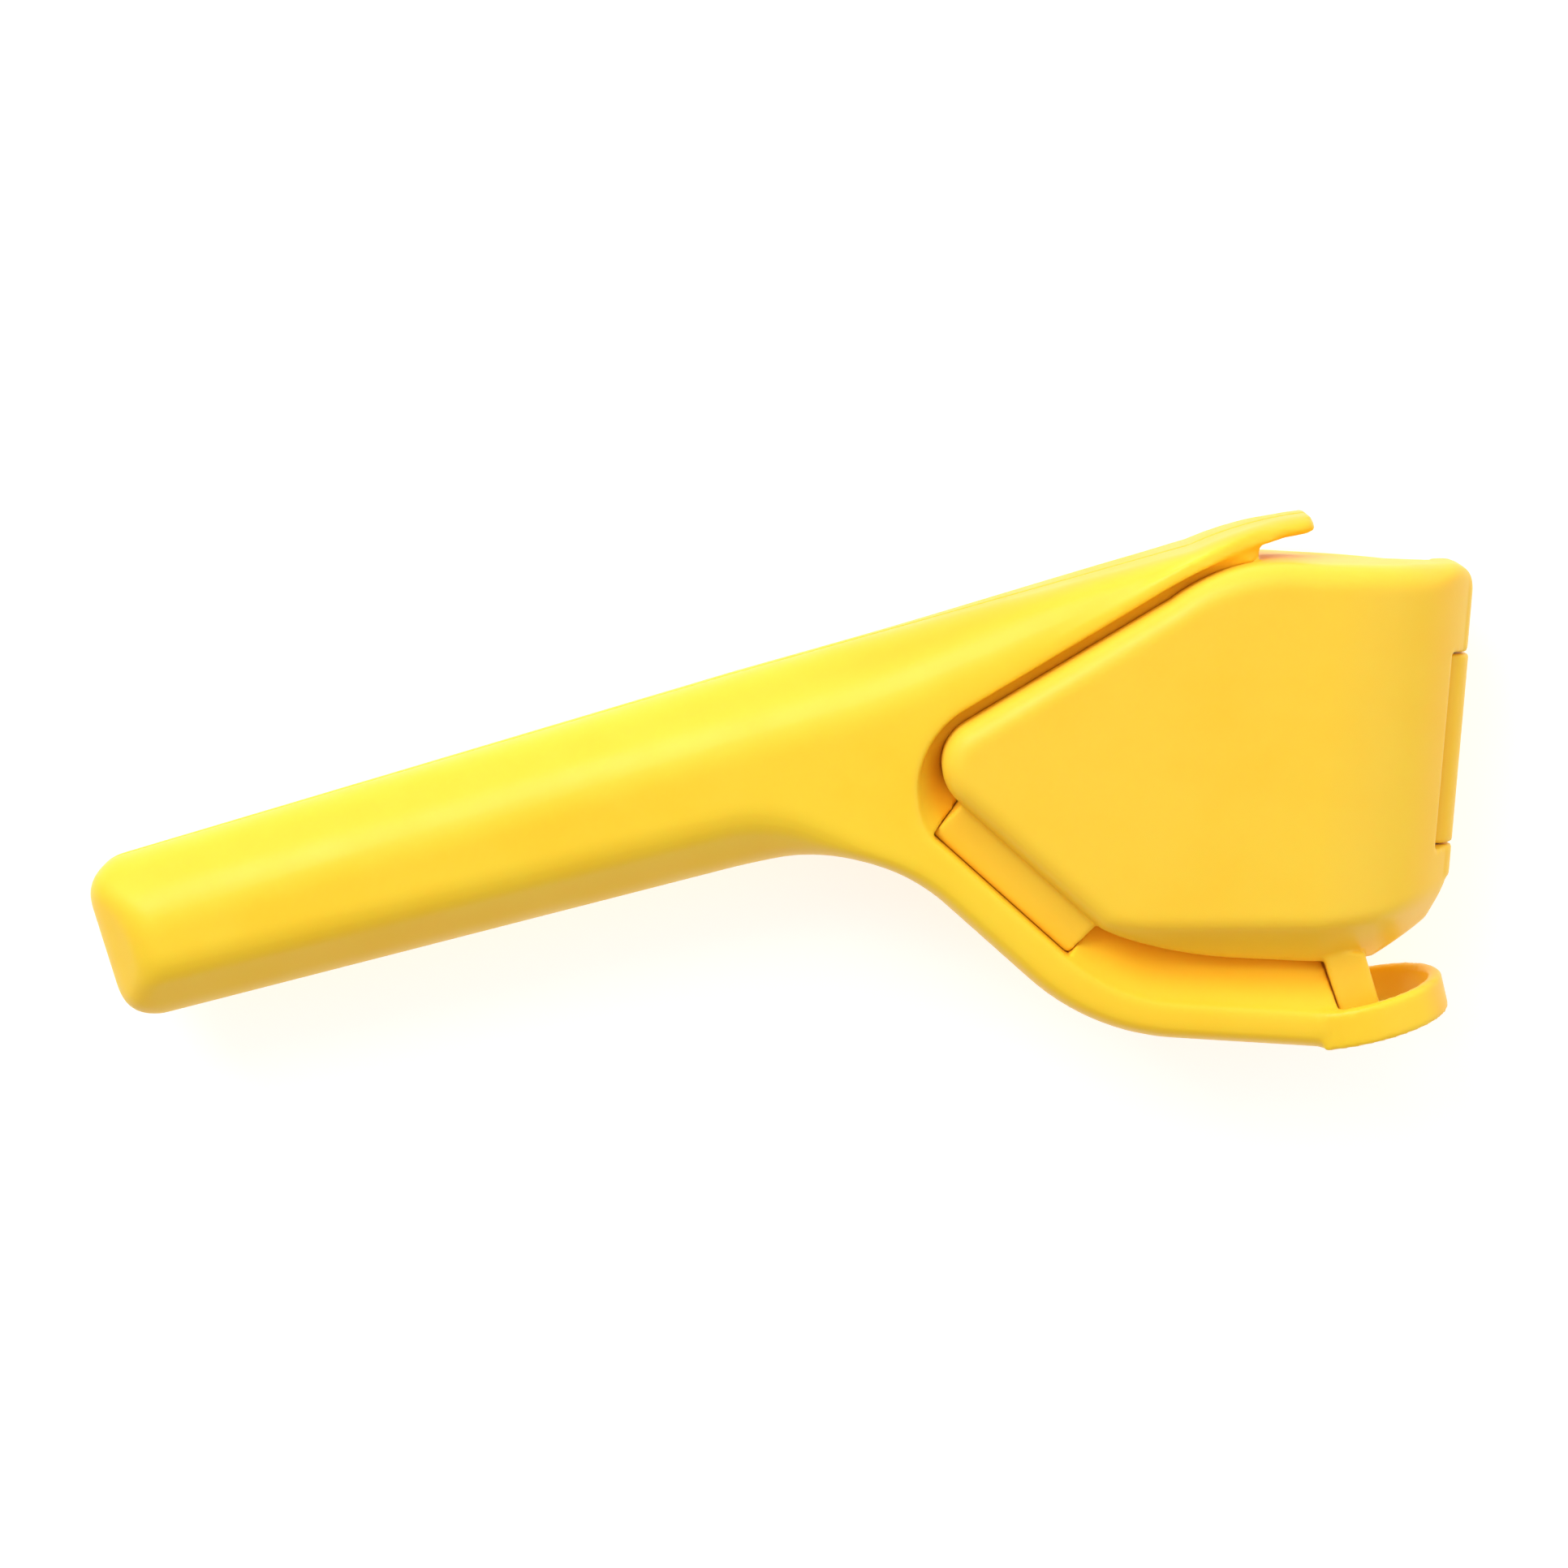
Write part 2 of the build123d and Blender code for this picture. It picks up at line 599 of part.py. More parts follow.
with BuildPart() as front_handle:
    add(handle_solid(1, ring_left_x + ring_lap, ring_left_x + ring_wall))
    add(leg_room.part, mode=Mode.SUBTRACT)
    add(ring.part)
front_handle.part.label = "front_handle"

with BuildPart() as rear_handle:
    add(handle_solid(-1, rear_band_end_x, rear_band_end_x))
rear_handle.part.label = "rear_handle"

# ---------------------------------------------------------------- the two press plates
with BuildPart() as upper_knuckle:
    extrude(hinge_disc(knuckle_radius, plate_top), amount=plate_top - middle_knuckle_top)
    extrude(plate_outline(-knuckle_radius), amount=2 * knuckle_radius, mode=Mode.INTERSECT)

with BuildPart() as front_press_plate:
    add(plate_with_lug(1))
    add(knuckle_room(middle_knuckle_bottom, middle_knuckle_top), mode=Mode.SUBTRACT)
    add(upper_knuckle.part)
    extrude(hinge_disc(knuckle_radius, middle_knuckle_bottom),
            amount=middle_knuckle_bottom - lower_knuckle_bottom)
    extrude(hinge_disc(pin_radius + run_clearance, pin_top), amount=pin_top - lower_knuckle_bottom,
            mode=Mode.SUBTRACT)
    with BuildSketch(Plane.XY.offset(leg_near)):
        with BuildLine():
            Polyline((leg_side(leg_top), leg_top), (leg_side(leg_foot), leg_foot),
                     (leg_side(leg_foot) + leg_across, leg_foot), (leg_side(leg_top) + leg_across, leg_top),
                     close=True)
        make_face()
    extrude(amount=leg_far - leg_near)
front_press_plate.part.label = "front_press_plate"

with BuildPart() as rear_press_plate:
    add(plate_with_lug(-1))
    add(knuckle_room(middle_knuckle_top, plate_top + margin), mode=Mode.SUBTRACT)
    add(knuckle_room(plate_bottom - margin, middle_knuckle_bottom), mode=Mode.SUBTRACT)
    extrude(hinge_disc(knuckle_radius, middle_knuckle_top - swing_clearance),
            amount=middle_knuckle_top - middle_knuckle_bottom - 2 * swing_clearance)
    extrude(hinge_disc(pin_radius + run_clearance, pin_top), amount=pin_top - lower_knuckle_bottom,
            mode=Mode.SUBTRACT)
rear_press_plate.part.label = "rear_press_plate"

# ---------------------------------------------------------------- pins
with BuildPart() as main_hinge_pin:
    extrude(hinge_disc(pin_radius, pin_top - seam_gap), amount=pin_top - seam_gap - lower_knuckle_bottom)
main_hinge_pin.part.label = "main_hinge_pin"

with BuildPart() as front_lug_pin:
    add(lug_bar(1, lug_pin_radius, lug_pin_grip))
front_lug_pin.part.label = "front_lug_pin"

with BuildPart() as rear_lug_pin:
    add(lug_bar(-1, lug_pin_radius, lug_pin_grip))
rear_lug_pin.part.label = "rear_lug_pin"

# ---------------------------------------------------------------- export in the frame of the part
pieces = [front_handle, rear_handle, front_press_plate, rear_press_plate,
          main_hinge_pin, front_lug_pin, rear_lug_pin]
boxes = [piece.part.bounding_box() for piece in pieces]
low = [min(box.min.X for box in boxes), min(box.min.Y for box in boxes), min(box.min.Z for box in boxes)]
high = [max(box.max.X for box in boxes), max(box.max.Y for box in boxes), max(box.max.Z for box in boxes)]
shift = Location((-(low[0] + high[0]) / 2, -(low[1] + high[1]) / 2, -low[2]))
os.makedirs("parts", exist_ok=True)
for piece in pieces:
    placed = piece.part.moved(shift)
    placed.label = piece.part.label
    export_step(placed, f"parts/{placed.label}.step")
hinge = shift.position
print("hinge line at", round(hinge.X, 3), round(hinge.Y, 3), round(hinge.Z, 3))
print("size", [round(top - bottom, 3) for bottom, top in zip(low, high)])
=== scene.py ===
import json
import math

import bpy
import numpy as np
from mathutils import Matrix, Vector


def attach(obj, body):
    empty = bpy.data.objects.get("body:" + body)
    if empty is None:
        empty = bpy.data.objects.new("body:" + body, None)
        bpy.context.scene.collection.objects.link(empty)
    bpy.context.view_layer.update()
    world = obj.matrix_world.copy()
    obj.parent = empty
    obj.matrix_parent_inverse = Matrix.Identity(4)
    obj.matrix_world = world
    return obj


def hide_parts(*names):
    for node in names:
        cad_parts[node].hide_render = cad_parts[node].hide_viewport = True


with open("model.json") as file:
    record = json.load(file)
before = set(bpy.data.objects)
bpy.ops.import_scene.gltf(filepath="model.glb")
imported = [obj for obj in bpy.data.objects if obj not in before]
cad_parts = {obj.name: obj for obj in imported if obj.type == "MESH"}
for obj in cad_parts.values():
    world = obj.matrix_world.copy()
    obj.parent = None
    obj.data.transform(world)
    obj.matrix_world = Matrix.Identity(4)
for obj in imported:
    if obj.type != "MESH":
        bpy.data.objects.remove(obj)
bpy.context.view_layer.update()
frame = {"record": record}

# The squeezer is drawn in millimetres round its hinge line: x runs from the grip to the hinge,
# y along the hinge and z from the rear half to the front half. The frame gives the hinge's place.
MM = 0.001
HINGE = np.array(frame["record"]["behaviour"]["joints"][0]["pos_m"]) / MM

# ---------------------------------------------------------------- sizes, millimetres
HALF_GAP = 0.1             # each half keeps this far from the closing plane
SEAM = 0.3                 # between pieces of one half
SWING = 0.3                # round the other half's knuckle
HANDLE_GRID = 0.61         # spacing of the samples that the moulded surfaces are read from
PLATE_GRID = 0.55

PLATE_DEPTH = 17.5
PLATE_WALL = 2.4
PLATE_TOP = 28.2
PLATE_BOTTOM = -38.9
PLATE_ROUND = 4.0          # round on the face's edges
PLATE_ROUND_LEAST = 0.6    # least round, where the plate is drawn smaller
PLATE_ROUND_LOSS = 0.75    # share of the round that is lost toward the hinge, over PLATE_ROUND_X
PLATE_ROUND_X = (-5.0, 4.0)
BEVEL_SOFT = 1.2           # width over which the bevel blends with the face
# Upper edge of the bevel along the plate's bottom.
BEVEL_LINE = ((-54.0, -33.4), (-18.4, -31.0), (-8.9, -29.6), (4.2, -25.5))
PLATE_CORNER = 5.0         # round of the plan at the upper hinge corner
REAR_TOP_DROP = 1.6        # the rear plate's top edge lies lower
REAR_TOP_REACH = 4.0       # the drop is reached this far before the top edge's end
REAR_TOP_ROUND = 1.2
FACE_FLAT_X = -21.0        # the face is flat up to here
SHOULDER = (-46.6, 20.0)
TOP_END = (-26.5, 27.5)
SHOULDER_MID = (-36.55, 25.9)
NOSE_TOP = (-78.2, -1.9)
NOSE = (-81.9, -9.0)
NOSE_FOOT = (-78.6, -15.0)
DIAGONAL = math.radians(-38.5)
DIAGONAL_LENGTH = 31.3
HEEL_RUN = 25.0
HEEL_RISE = 0.9            # at half its run the heel is this much above the bottom edge
TOE = ((-17.5, -38.9), (-8.0, -38.1), (1.1, -31.9))
DISH_RADIUS = 44.0
DISH_DEPTH = 9.5
DISH = (-38.0, -4.0)
DISH_SOFT = 1.0
RIB = 2.0
RIB_PITCH = 7.5
RIB_COUNT = 7
RIB_FIRST_X = -66.0
RIB_BACK = 1.6             # the ribs end this far behind the closing plane
RIB_LAP = 0.3              # and reach this far into the wall

KNUCKLE = 4.2
PIN = 2.05                 # radius of the bore for the hinge pin
MIDDLE_TOP, MIDDLE_BOTTOM = 13.3, -19.0
LOWER_BOTTOM = -24.5
PIN_CAP = 2.6              # closed end over the pin
BORE_REACH = 2.0           # the bore starts this far below the lowest knuckle
BORE_ROUND = 0.1
KNUCKLE_ROUND = 0.5
KNUCKLE_TOP_ROUND = 1.0    # where the upper knuckle meets the plate's outline
KNUCKLE_REACH = 2.0        # the upper knuckle is cut to that outline from this far above it
ROOM_REACH = 10.0          # room for a knuckle goes this far past the plate's ends
SKIN_EDGE_X = 0.5          # beyond this the room for a knuckle is open

LUG_LENGTH = 30.0
LUG_WIDTH = 7.15
LUG_SEAM = 0.15            # between the lug's ends and the wall beside it
LUG_HEIGHT = (12.6, 10.8)  # at its inner and outer edge
LUG_ROUND = 1.2
LUG_END_ROUND = 0.35
LUG_FILLET = 0.8           # soft corner between the lug and the plate
LUG_BACK = 1.2             # the lug goes this far under the plate's edge
LUG_PIN = 1.3              # radius of the bore for the lug pin
LUG_PIN_OFF = 4.4
LUG_PIN_Z = 5.0
LUG_PIN_GRIP = 4.3         # the bore goes this far past the lug at both ends

GRIP_ANGLE = math.radians(19.2)
GRIP_END = (-219.3, -50.1)
GRIP_LENGTH = 113.6
GRIP_HEIGHT = (27.7, 31.2)    # at its end, at the neck
GRIP_CORNER = 7.0
GRIP_DEPTH = 12.8
GRIP_HOLLOW_X = -68.0         # the handle is hollow up to here
HANDLE_WALL = 2.2
HANDLE_RIB_PITCH = 19.0
HANDLE_RIBS = (1, 6)          # first and last cross rib
FRAME_DEPTH = 14.0
NECK_RADIUS = 30.0
HEEL_RADIUS = 39.0

FACET_TOP = 8.3               # widths of the facets along the top, the bottom and the end
FACET_BOTTOM = 8.6
FACET_END = 8.0
FACET_TOP_LOSS = 5.5          # the top facet narrows by this much along the neck, over FACET_TOP_X
FACET_TOP_X = (-100.0, -46.0)
FACET_LOW_LOSS = 7.0          # and the bottom facet by this much
FACET_LOW_X = (-116.0, -90.0)
FACET_SOFT = 2.4              # width over which two facets blend
FACET_TOP_SOFT = 1.5 * FACET_SOFT
FACET_SOFT_LOSS = 0.9         # past the grip the bottom facet's edge gets sharper
FACET_SOFT_X = (-112.0, -84.0)
EDGE_ROUND = 1.2              # round of the frame's edges at the window
EDGE_GROWTH = 1.6             # and this much more away from it, over EDGE_REACH
EDGE_REACH = (1.5, 4.5)

WINDOW_GAP = 2.2              # from the plate's arm side to the window's edge
NOSE_GAP = 3.6                # and from its nose
NOSE_DROP = 2.0               # the window reaches furthest this much below the nose
DIAGONAL_BAND = 7.2           # width of the frame beside the plate's diagonal edge
BAND_TOP = -46.5              # and the lower band beside its bottom edge
BAND_BOTTOM = -52.9
LEDGE_GAP = 7.4               # from the plate's diagonal edge to the window's
LEDGE_FOOT = (6.0, 9.6)       # up to this z the inner wall reaches the plate: by the band, by the arm
LEDGE_LIP = (13.5, 10.4)      # and from this z down it slopes: by the band, by the arm
LEDGE_ARM_Y = (-14.0, -4.0)   # between these y the wall turns from the one to the other
LEDGE_BACK = 2.0              # the inner wall's own width behind the window's edge
LEDGE_SCALE = 0.9             # makes the sloped wall's reading nearly a true distance
LEDGE_FILLET = 0.7
LIP_DROP = 0.5                # the inner wall starts this much below the frame's front
LIP_FALL = 1.8                # and falls this many times faster than the prong
NOTCH_BACK = 3.0              # the room for the lug goes this far behind the plate's edge

PRONG_TIP = (-23.4, 34.6)
PRONG_THICK = 3.0
PRONG_BLUNT = 1.0             # run of the tip's upper corner
PRONG_FACE = 0.7              # share of the thickness that the tip's upright edge takes
PRONG_SLANT = 1.6             # the underside ends this much before the tip
PRONG_BULGE = 1.3             # and rises this much over a straight line
PRONG_DROP = 3.5              # the prong's tip lies this much lower than the frame
PRONG_DROP_X = (-46.0, -26.0)
PRONG_DROP_Y = (20.0, 28.0)
ARM_TOP = (4.6, 6.2)          # from the window's shoulder to the arm's upper edge
ARM_BULGE = (9.0, 4.0)        # and from there to the middle of its curve
TAB_Z = (3.0, 9.0)
TAB_RUN = (0.33, 0.66)        # shares of the prong's underside between which the tab stands
TAB_ROUND = 0.3
UNDER_STEP = 0.02             # turn between two points of the underside, radians

RING_WALL = 2.3
RING_CORNER = 1.2          # straight length before the ring's round part
RING_LENGTH = 22.4
RING_LEFT_X = -15.6
RING_LAP = 0.4
RING_TILT = math.radians(17.5)
RING_HEIGHT = 6.4
RING_ROUND = 0.7
RING_FILLET = 1.0
RING_BACK = 11.0           # the ring's back from the closing plane
RING_BACK_Z = 5.5
REAR_BAND_END_X = -22.5
LEG_TILT = math.radians(21.0)
LEG_TOP_LEFT = (-16.0, -39.9)
LEG_WIDTH = 6.7
LEG_Z = (5.5, 10.5)
LEG_REACH = 1.0            # the leg goes this far under the band's top
LEG_ROUND = 0.5

COS_45 = math.sqrt(0.5)
ALONG = np.array([math.cos(DIAGONAL), math.sin(DIAGONAL)])
OUT = np.array([ALONG[1], -ALONG[0]])
GRIP_AXIS = np.array([math.cos(GRIP_ANGLE), math.sin(GRIP_ANGLE)])
GRIP_UP = np.array([-GRIP_AXIS[1], GRIP_AXIS[0]])
LUG_START = (DIAGONAL_LENGTH - LUG_LENGTH) / 2


def on_diagonal(run, off):
    """Point at a run along the plate's diagonal edge and an offset outward from it."""
    return tuple(np.array(NOSE_FOOT) + run * ALONG + off * OUT)


def on_grip(run, up):
    """Point at a run from the grip's end and a height above its centre line."""
    return tuple(np.array(GRIP_END) + run * GRIP_AXIS + up * GRIP_UP)


def along_edge(x, y):
    """Run along the plate's diagonal edge and offset outward from it."""
    return tuple((x - NOSE_FOOT[0]) * line[0] + (y - NOSE_FOOT[1]) * line[1] for line in (ALONG, OUT))


def along_grip(x, y):
    """Run along the grip's centre line from its end."""
    return (x - GRIP_END[0]) * GRIP_AXIS[0] + (y - GRIP_END[1]) * GRIP_AXIS[1]


def beside_leg(x, y):
    """Distance across the leg from its left side."""
    return (x - LEG_TOP_LEFT[0]) * math.cos(LEG_TILT) + (y - LEG_TOP_LEFT[1]) * math.sin(LEG_TILT)


ARM = np.array(SHOULDER) - np.array(NOSE_TOP)
ARM_NORMAL = np.array([-ARM[1], ARM[0]]) / np.hypot(*ARM)
HEEL_START = on_diagonal(DIAGONAL_LENGTH, 0)
HEEL_END = (HEEL_START[0] + HEEL_RUN, PLATE_BOTTOM)
HEEL_MID = (HEEL_START[0] + HEEL_RUN / 2, PLATE_BOTTOM + HEEL_RISE)
WINDOW_START = tuple(np.array(SHOULDER) + WINDOW_GAP * ARM_NORMAL)
WINDOW_NOSE = tuple(np.array(NOSE_TOP) + WINDOW_GAP * ARM_NORMAL)
WINDOW_BACK = (NOSE[0] - NOSE_GAP, NOSE[1] - NOSE_DROP)
WINDOW_FOOT = on_diagonal(0, LEDGE_GAP)
TIP_TOP = (PRONG_TIP[0] - PRONG_BLUNT, PRONG_TIP[1])
TIP_FRONT = (PRONG_TIP[0], PRONG_TIP[1] - PRONG_FACE * PRONG_THICK)
TIP_LOW = (PRONG_TIP[0] - PRONG_SLANT, PRONG_TIP[1] - PRONG_THICK)
UNDER_PRONG = ((TIP_LOW[0] + WINDOW_START[0]) / 2, (TIP_LOW[1] + WINDOW_START[1]) / 2 + PRONG_BULGE)
ARM_END = (WINDOW_START[0] + ARM_TOP[0], WINDOW_START[1] + ARM_TOP[1])
ARM_OVER = (ARM_END[0] + ARM_BULGE[0], ARM_END[1] + ARM_BULGE[1])


# ---------------------------------------------------------------- outlines in the plane
def turn(before, corner, after, radius):
    """Start, middle and end of the arc of a radius that touches both lines at a corner."""
    here = np.array(corner)
    first = (np.array(before) - here) / np.hypot(*(np.array(before) - here))
    last = (np.array(after) - here) / np.hypot(*(np.array(after) - here))
    half = math.acos(float(first @ last)) / 2
    middle = (first + last) / np.hypot(*(first + last))
    reach = radius / math.tan(half)
    nearest = here + middle * (radius / math.sin(half) - radius)
    return here + reach * first, nearest, here + reach * last


def meet(start, ahead, level):
    """Point where the line from one point through another reaches a height."""
    share = (level - start[1]) / (ahead[1] - start[1])
    return start[0] + share * (ahead[0] - start[0]), level


def arc(start, through, end, step=0.05):
    """Points on the circle through three points, leaving out the end: centre from the two
    perpendicular bisectors, angle swept the way that passes the middle point."""
    (ax, ay), (bx, by), (cx, cy) = start, through, end
    d = 2 * (ax * (by - cy) + bx * (cy - ay) + cx * (ay - by))
    a2, b2, c2 = ax * ax + ay * ay, bx * bx + by * by, cx * cx + cy * cy
    ux = (a2 * (by - cy) + b2 * (cy - ay) + c2 * (ay - by)) / d
    uy = (a2 * (cx - bx) + b2 * (ax - cx) + c2 * (bx - ax)) / d
    first = math.atan2(ay - uy, ax - ux)
    middle = (math.atan2(by - uy, bx - ux) - first) % (2 * math.pi)
    sweep = (math.atan2(cy - uy, cx - ux) - first) % (2 * math.pi)
    if middle > sweep:
        sweep -= 2 * math.pi
    count = max(int(abs(sweep) / step), 2)
    angles = first + sweep * np.arange(count) / count
    radius = math.hypot(ax - ux, ay - uy)
    return np.stack([ux + radius * np.cos(angles), uy + radius * np.sin(angles)], axis=1)


def path(*stretches):
    """One outline from corner points and arcs, in order."""
    return np.concatenate([np.atleast_2d(np.asarray(stretch, float)) for stretch in stretches])


def distance_to(points, x, y, closed=True):
    """Least distance from each (x, y) to the segments of an outline; negative inside when closed.
    A point is inside when a ray along x crosses the outline an odd number of times."""
    x, y = np.broadcast_arrays(x, y)
    best = np.full(x.shape, np.inf)
    odd = np.zeros(x.shape, bool)
    ends = np.roll(points, -1, axis=0) if closed else points[1:]
    for (ax, ay), (bx, by) in zip(points, ends):
        ex, ey = bx - ax, by - ay
        t = np.clip(((x - ax) * ex + (y - ay) * ey) / max(ex * ex + ey * ey, 1e-12), 0, 1)
        best = np.minimum(best, np.hypot(x - ax - t * ex, y - ay - t * ey))
        crosses = (ay > y) != (by > y)
        odd ^= crosses & (x < ax + (y - ay) * ex / (ey if ey else 1e-12))
    return np.where(odd, -best, best) if closed else best


# ---------------------------------------------------------------- joining distances
def blend_max(a, b, width):
    """Larger of two distances, rounded off where they differ by less than width:
    max(a, b) + h^2 width / 4 with h = max(width - |a - b|, 0) / width."""
    h = np.maximum(width - np.abs(a - b), 0) / width
    return np.maximum(a, b) + h * h * width / 4


def blend_min(a, b, width):
    """Smaller of two distances with a soft inner corner."""
    return -blend_max(-a, -b, width)


def rounded(a, b, radius):
    """Both distances together with a round edge: length of their positive parts beyond
    -radius, less radius."""
    inside = np.minimum(np.maximum(a + radius, b + radius), 0)
    return inside + np.hypot(np.maximum(a + radius, 0), np.maximum(b + radius, 0)) - radius


def ramp(value, low, high):
    """Smooth step 3t^2 - 2t^3 from 0 at low to 1 at high."""
    t = np.clip((value - low) / (high - low), 0, 1)
    return t * t * (3 - 2 * t)


def between(value, low, high):
    """Distance outside a slab, negative inside it."""
    return np.maximum(low - value, value - high)


def net(field, low, step):
    """Surface where a sampled distance is zero. Each cell with a sign change gets one vertex, at
    the mean of its edges' zero points, and each sample edge with a sign change gets one quad
    between its four cells."""
    shape = tuple(n - 1 for n in field.shape)
    total = np.zeros(shape + (3,), np.float32)
    hits = np.zeros(shape, np.float32)
    crossings = []
    for axis in range(3):
        a = np.moveaxis(field, axis, 0)
        first, second = a[:-1], a[1:]
        cross = (first < 0) != (second < 0)
        share = np.where(cross, first / np.where(cross, first - second, 1), 0)
        crossings.append((cross, first < 0))
        tot = np.moveaxis(total, axis, 0)
        hit = np.moveaxis(hits, axis, 0)
        others = [k for k in range(3) if k != axis]
        for down in (0, 1):
            for over in (0, 1):
                part = (slice(None), slice(down, down + tot.shape[1]), slice(over, over + tot.shape[2]))
                seen = cross[part]
                tot[..., axis] += seen * share[part]
                tot[..., others[0]] += seen * down
                tot[..., others[1]] += seen * over
                hit += seen
    used = hits > 0
    number = np.full(shape, -1, np.int64)
    number[used] = np.arange(used.sum())
    cells = np.argwhere(used)
    points = np.asarray(low) + step * (cells + total[used] / hits[used][:, None])
    quads = []
    for axis in range(3):
        cross, rising = crossings[axis]
        order = np.moveaxis(number, axis, 0)
        inner = (slice(None), slice(1, -1), slice(1, -1))
        i, j, k = np.nonzero(cross[inner])
        face = np.stack([order[i, j, k], order[i, j + 1, k], order[i, j + 1, k + 1], order[i, j, k + 1]], 1)
        flip = rising[inner][i, j, k] == (axis == 1)
        face[flip] = face[flip][:, ::-1]
        quads.append(face)
    return points, np.concatenate(quads)


def moulded(name, body, node, solid, box, material, step):
    """Mesh of one moulding from its distance function, sampled in a box given by its low and high
    corner, placed in the frame and riding its body."""
    axes = [np.arange(low - 2 * step, high + 3 * step, step) for low, high in zip(*box)]
    x, y, z = np.meshgrid(*axes, indexing="ij", sparse=True)
    field = solid(x, y, z).astype(np.float32)
    points, quads = net(field, [a[0] for a in axes], step)
    mesh = bpy.data.meshes.new(name)
    mesh.vertices.add(len(points))
    mesh.vertices.foreach_set("co", ((points + HINGE) * MM).astype(np.float32).ravel())
    mesh.loops.add(quads.size)
    mesh.loops.foreach_set("vertex_index", quads.astype(np.int32).ravel())
    mesh.polygons.add(len(quads))
    mesh.polygons.foreach_set("loop_start", np.arange(0, quads.size, 4, dtype=np.int32))
    mesh.polygons.foreach_set("use_smooth", np.ones(len(quads), bool))
    mesh.update(calc_edges=True)
    mesh.validate()
    piece = bpy.data.objects.new(name, mesh)
    bpy.context.scene.collection.objects.link(piece)
    mesh.materials.append(material)
    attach(piece, body)
    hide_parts(node)


# ---------------------------------------------------------------- the moulded solids
# Each solid is a distance in millimetres, negative inside. Adding 0 * y or 0 * z spreads a
# distance over the samples of that axis.
PLATE_PLAN = path(arc(TOP_END, SHOULDER_MID, SHOULDER), SHOULDER, arc(NOSE_TOP, NOSE, NOSE_FOOT),
                  NOSE_FOOT, arc(HEEL_START, HEEL_MID, HEEL_END), HEEL_END, TOE,
                  (KNUCKLE, LOWER_BOTTOM),
                  arc(*turn((KNUCKLE, 0.0), (KNUCKLE, PLATE_TOP), TOP_END, PLATE_CORNER)))
UNDER = arc(TIP_LOW, UNDER_PRONG, WINDOW_START, UNDER_STEP)
TAB_FIRST, TAB_LAST = (int(share * len(UNDER)) for share in TAB_RUN)
TAB_RIGHT, TAB_LEFT = UNDER[TAB_FIRST], UNDER[TAB_LAST]
# Radius of the arc that leaves the flat face level and reaches the closing plane at the knuckle.
FACE_RADIUS = ((KNUCKLE - FACE_FLAT_X) ** 2 + PLATE_DEPTH ** 2) / (2 * PLATE_DEPTH)


def plate_skin(x, y, z, inset=0.0):
    """Distance outside the press plate's outer shape moved inward by inset: its plan, the flat
    face that turns into one arc at the hinge, round edges and the long bevel at the bottom."""
    plan = distance_to(PLATE_PLAN, x[..., 0], y[..., 0])[..., None] + inset
    flat = z - PLATE_DEPTH + inset
    curve = np.hypot(x - FACE_FLAT_X, z - PLATE_DEPTH + FACE_RADIUS) - FACE_RADIUS + inset
    face = np.where(x > FACE_FLAT_X, curve, flat)
    corner = max(PLATE_ROUND - inset, PLATE_ROUND_LEAST)
    skin = rounded(plan, face, corner * (1 - PLATE_ROUND_LOSS * ramp(x, *PLATE_ROUND_X)))
    bend = np.clip(x - FACE_FLAT_X, 0, FACE_RADIUS)
    height = PLATE_DEPTH - FACE_RADIUS + np.sqrt(FACE_RADIUS ** 2 - bend ** 2)
    bevel = (z - height + np.interp(x, *zip(*BEVEL_LINE)) - y) * COS_45 + inset
    return blend_max(skin, bevel, BEVEL_SOFT)


def barrel(x, z, radius, y, low, high, round_edge):
    """Round bar on the hinge line between two heights."""
    return rounded(np.hypot(x, z) - radius + 0 * y, between(y, low, high) + 0 * x, round_edge)


def lug_bore(x, y, z):
    """Bore for the lug pin, past both ends of the lug."""
    run, off = along_edge(x, y)
    disc = np.hypot(off - LUG_PIN_OFF, z - LUG_PIN_Z) - LUG_PIN
    return np.maximum(disc, between(run, LUG_START - LUG_PIN_GRIP, LUG_START + LUG_LENGTH + LUG_PIN_GRIP))


def lug(x, y, z):
    """Block along the diagonal edge with a round along its outer top edge."""
    run, off = along_edge(x, y)
    top = LUG_HEIGHT[0] + (LUG_HEIGHT[1] - LUG_HEIGHT[0]) * off / LUG_WIDTH
    section = rounded(off - LUG_WIDTH, z - top, LUG_ROUND)
    section = np.maximum(section, -LUG_BACK - off)
    return rounded(section, between(run, LUG_START, LUG_START + LUG_LENGTH) + 0 * z, LUG_END_ROUND)


def ribs(x, y, z):
    """Upright ribs with a ball-shaped dish pressed into their edges."""
    last = RIB_FIRST_X + (RIB_COUNT - 1) * RIB_PITCH
    number = np.round(np.clip((x - RIB_FIRST_X) / RIB_PITCH, 0, RIB_COUNT - 1))
    phase = (x - RIB_FIRST_X) - RIB_PITCH * number
    bars = np.maximum(np.abs(phase) - RIB / 2, RIB_BACK + HALF_GAP - z)
    bars = np.maximum(bars, between(x, RIB_FIRST_X - RIB, last + RIB))
    ball = DISH_RADIUS - np.sqrt((x - DISH[0]) ** 2 + (y - DISH[1]) ** 2
                                 + (z + DISH_RADIUS - DISH_DEPTH) ** 2)
    return blend_max(bars + 0 * y, ball, DISH_SOFT)


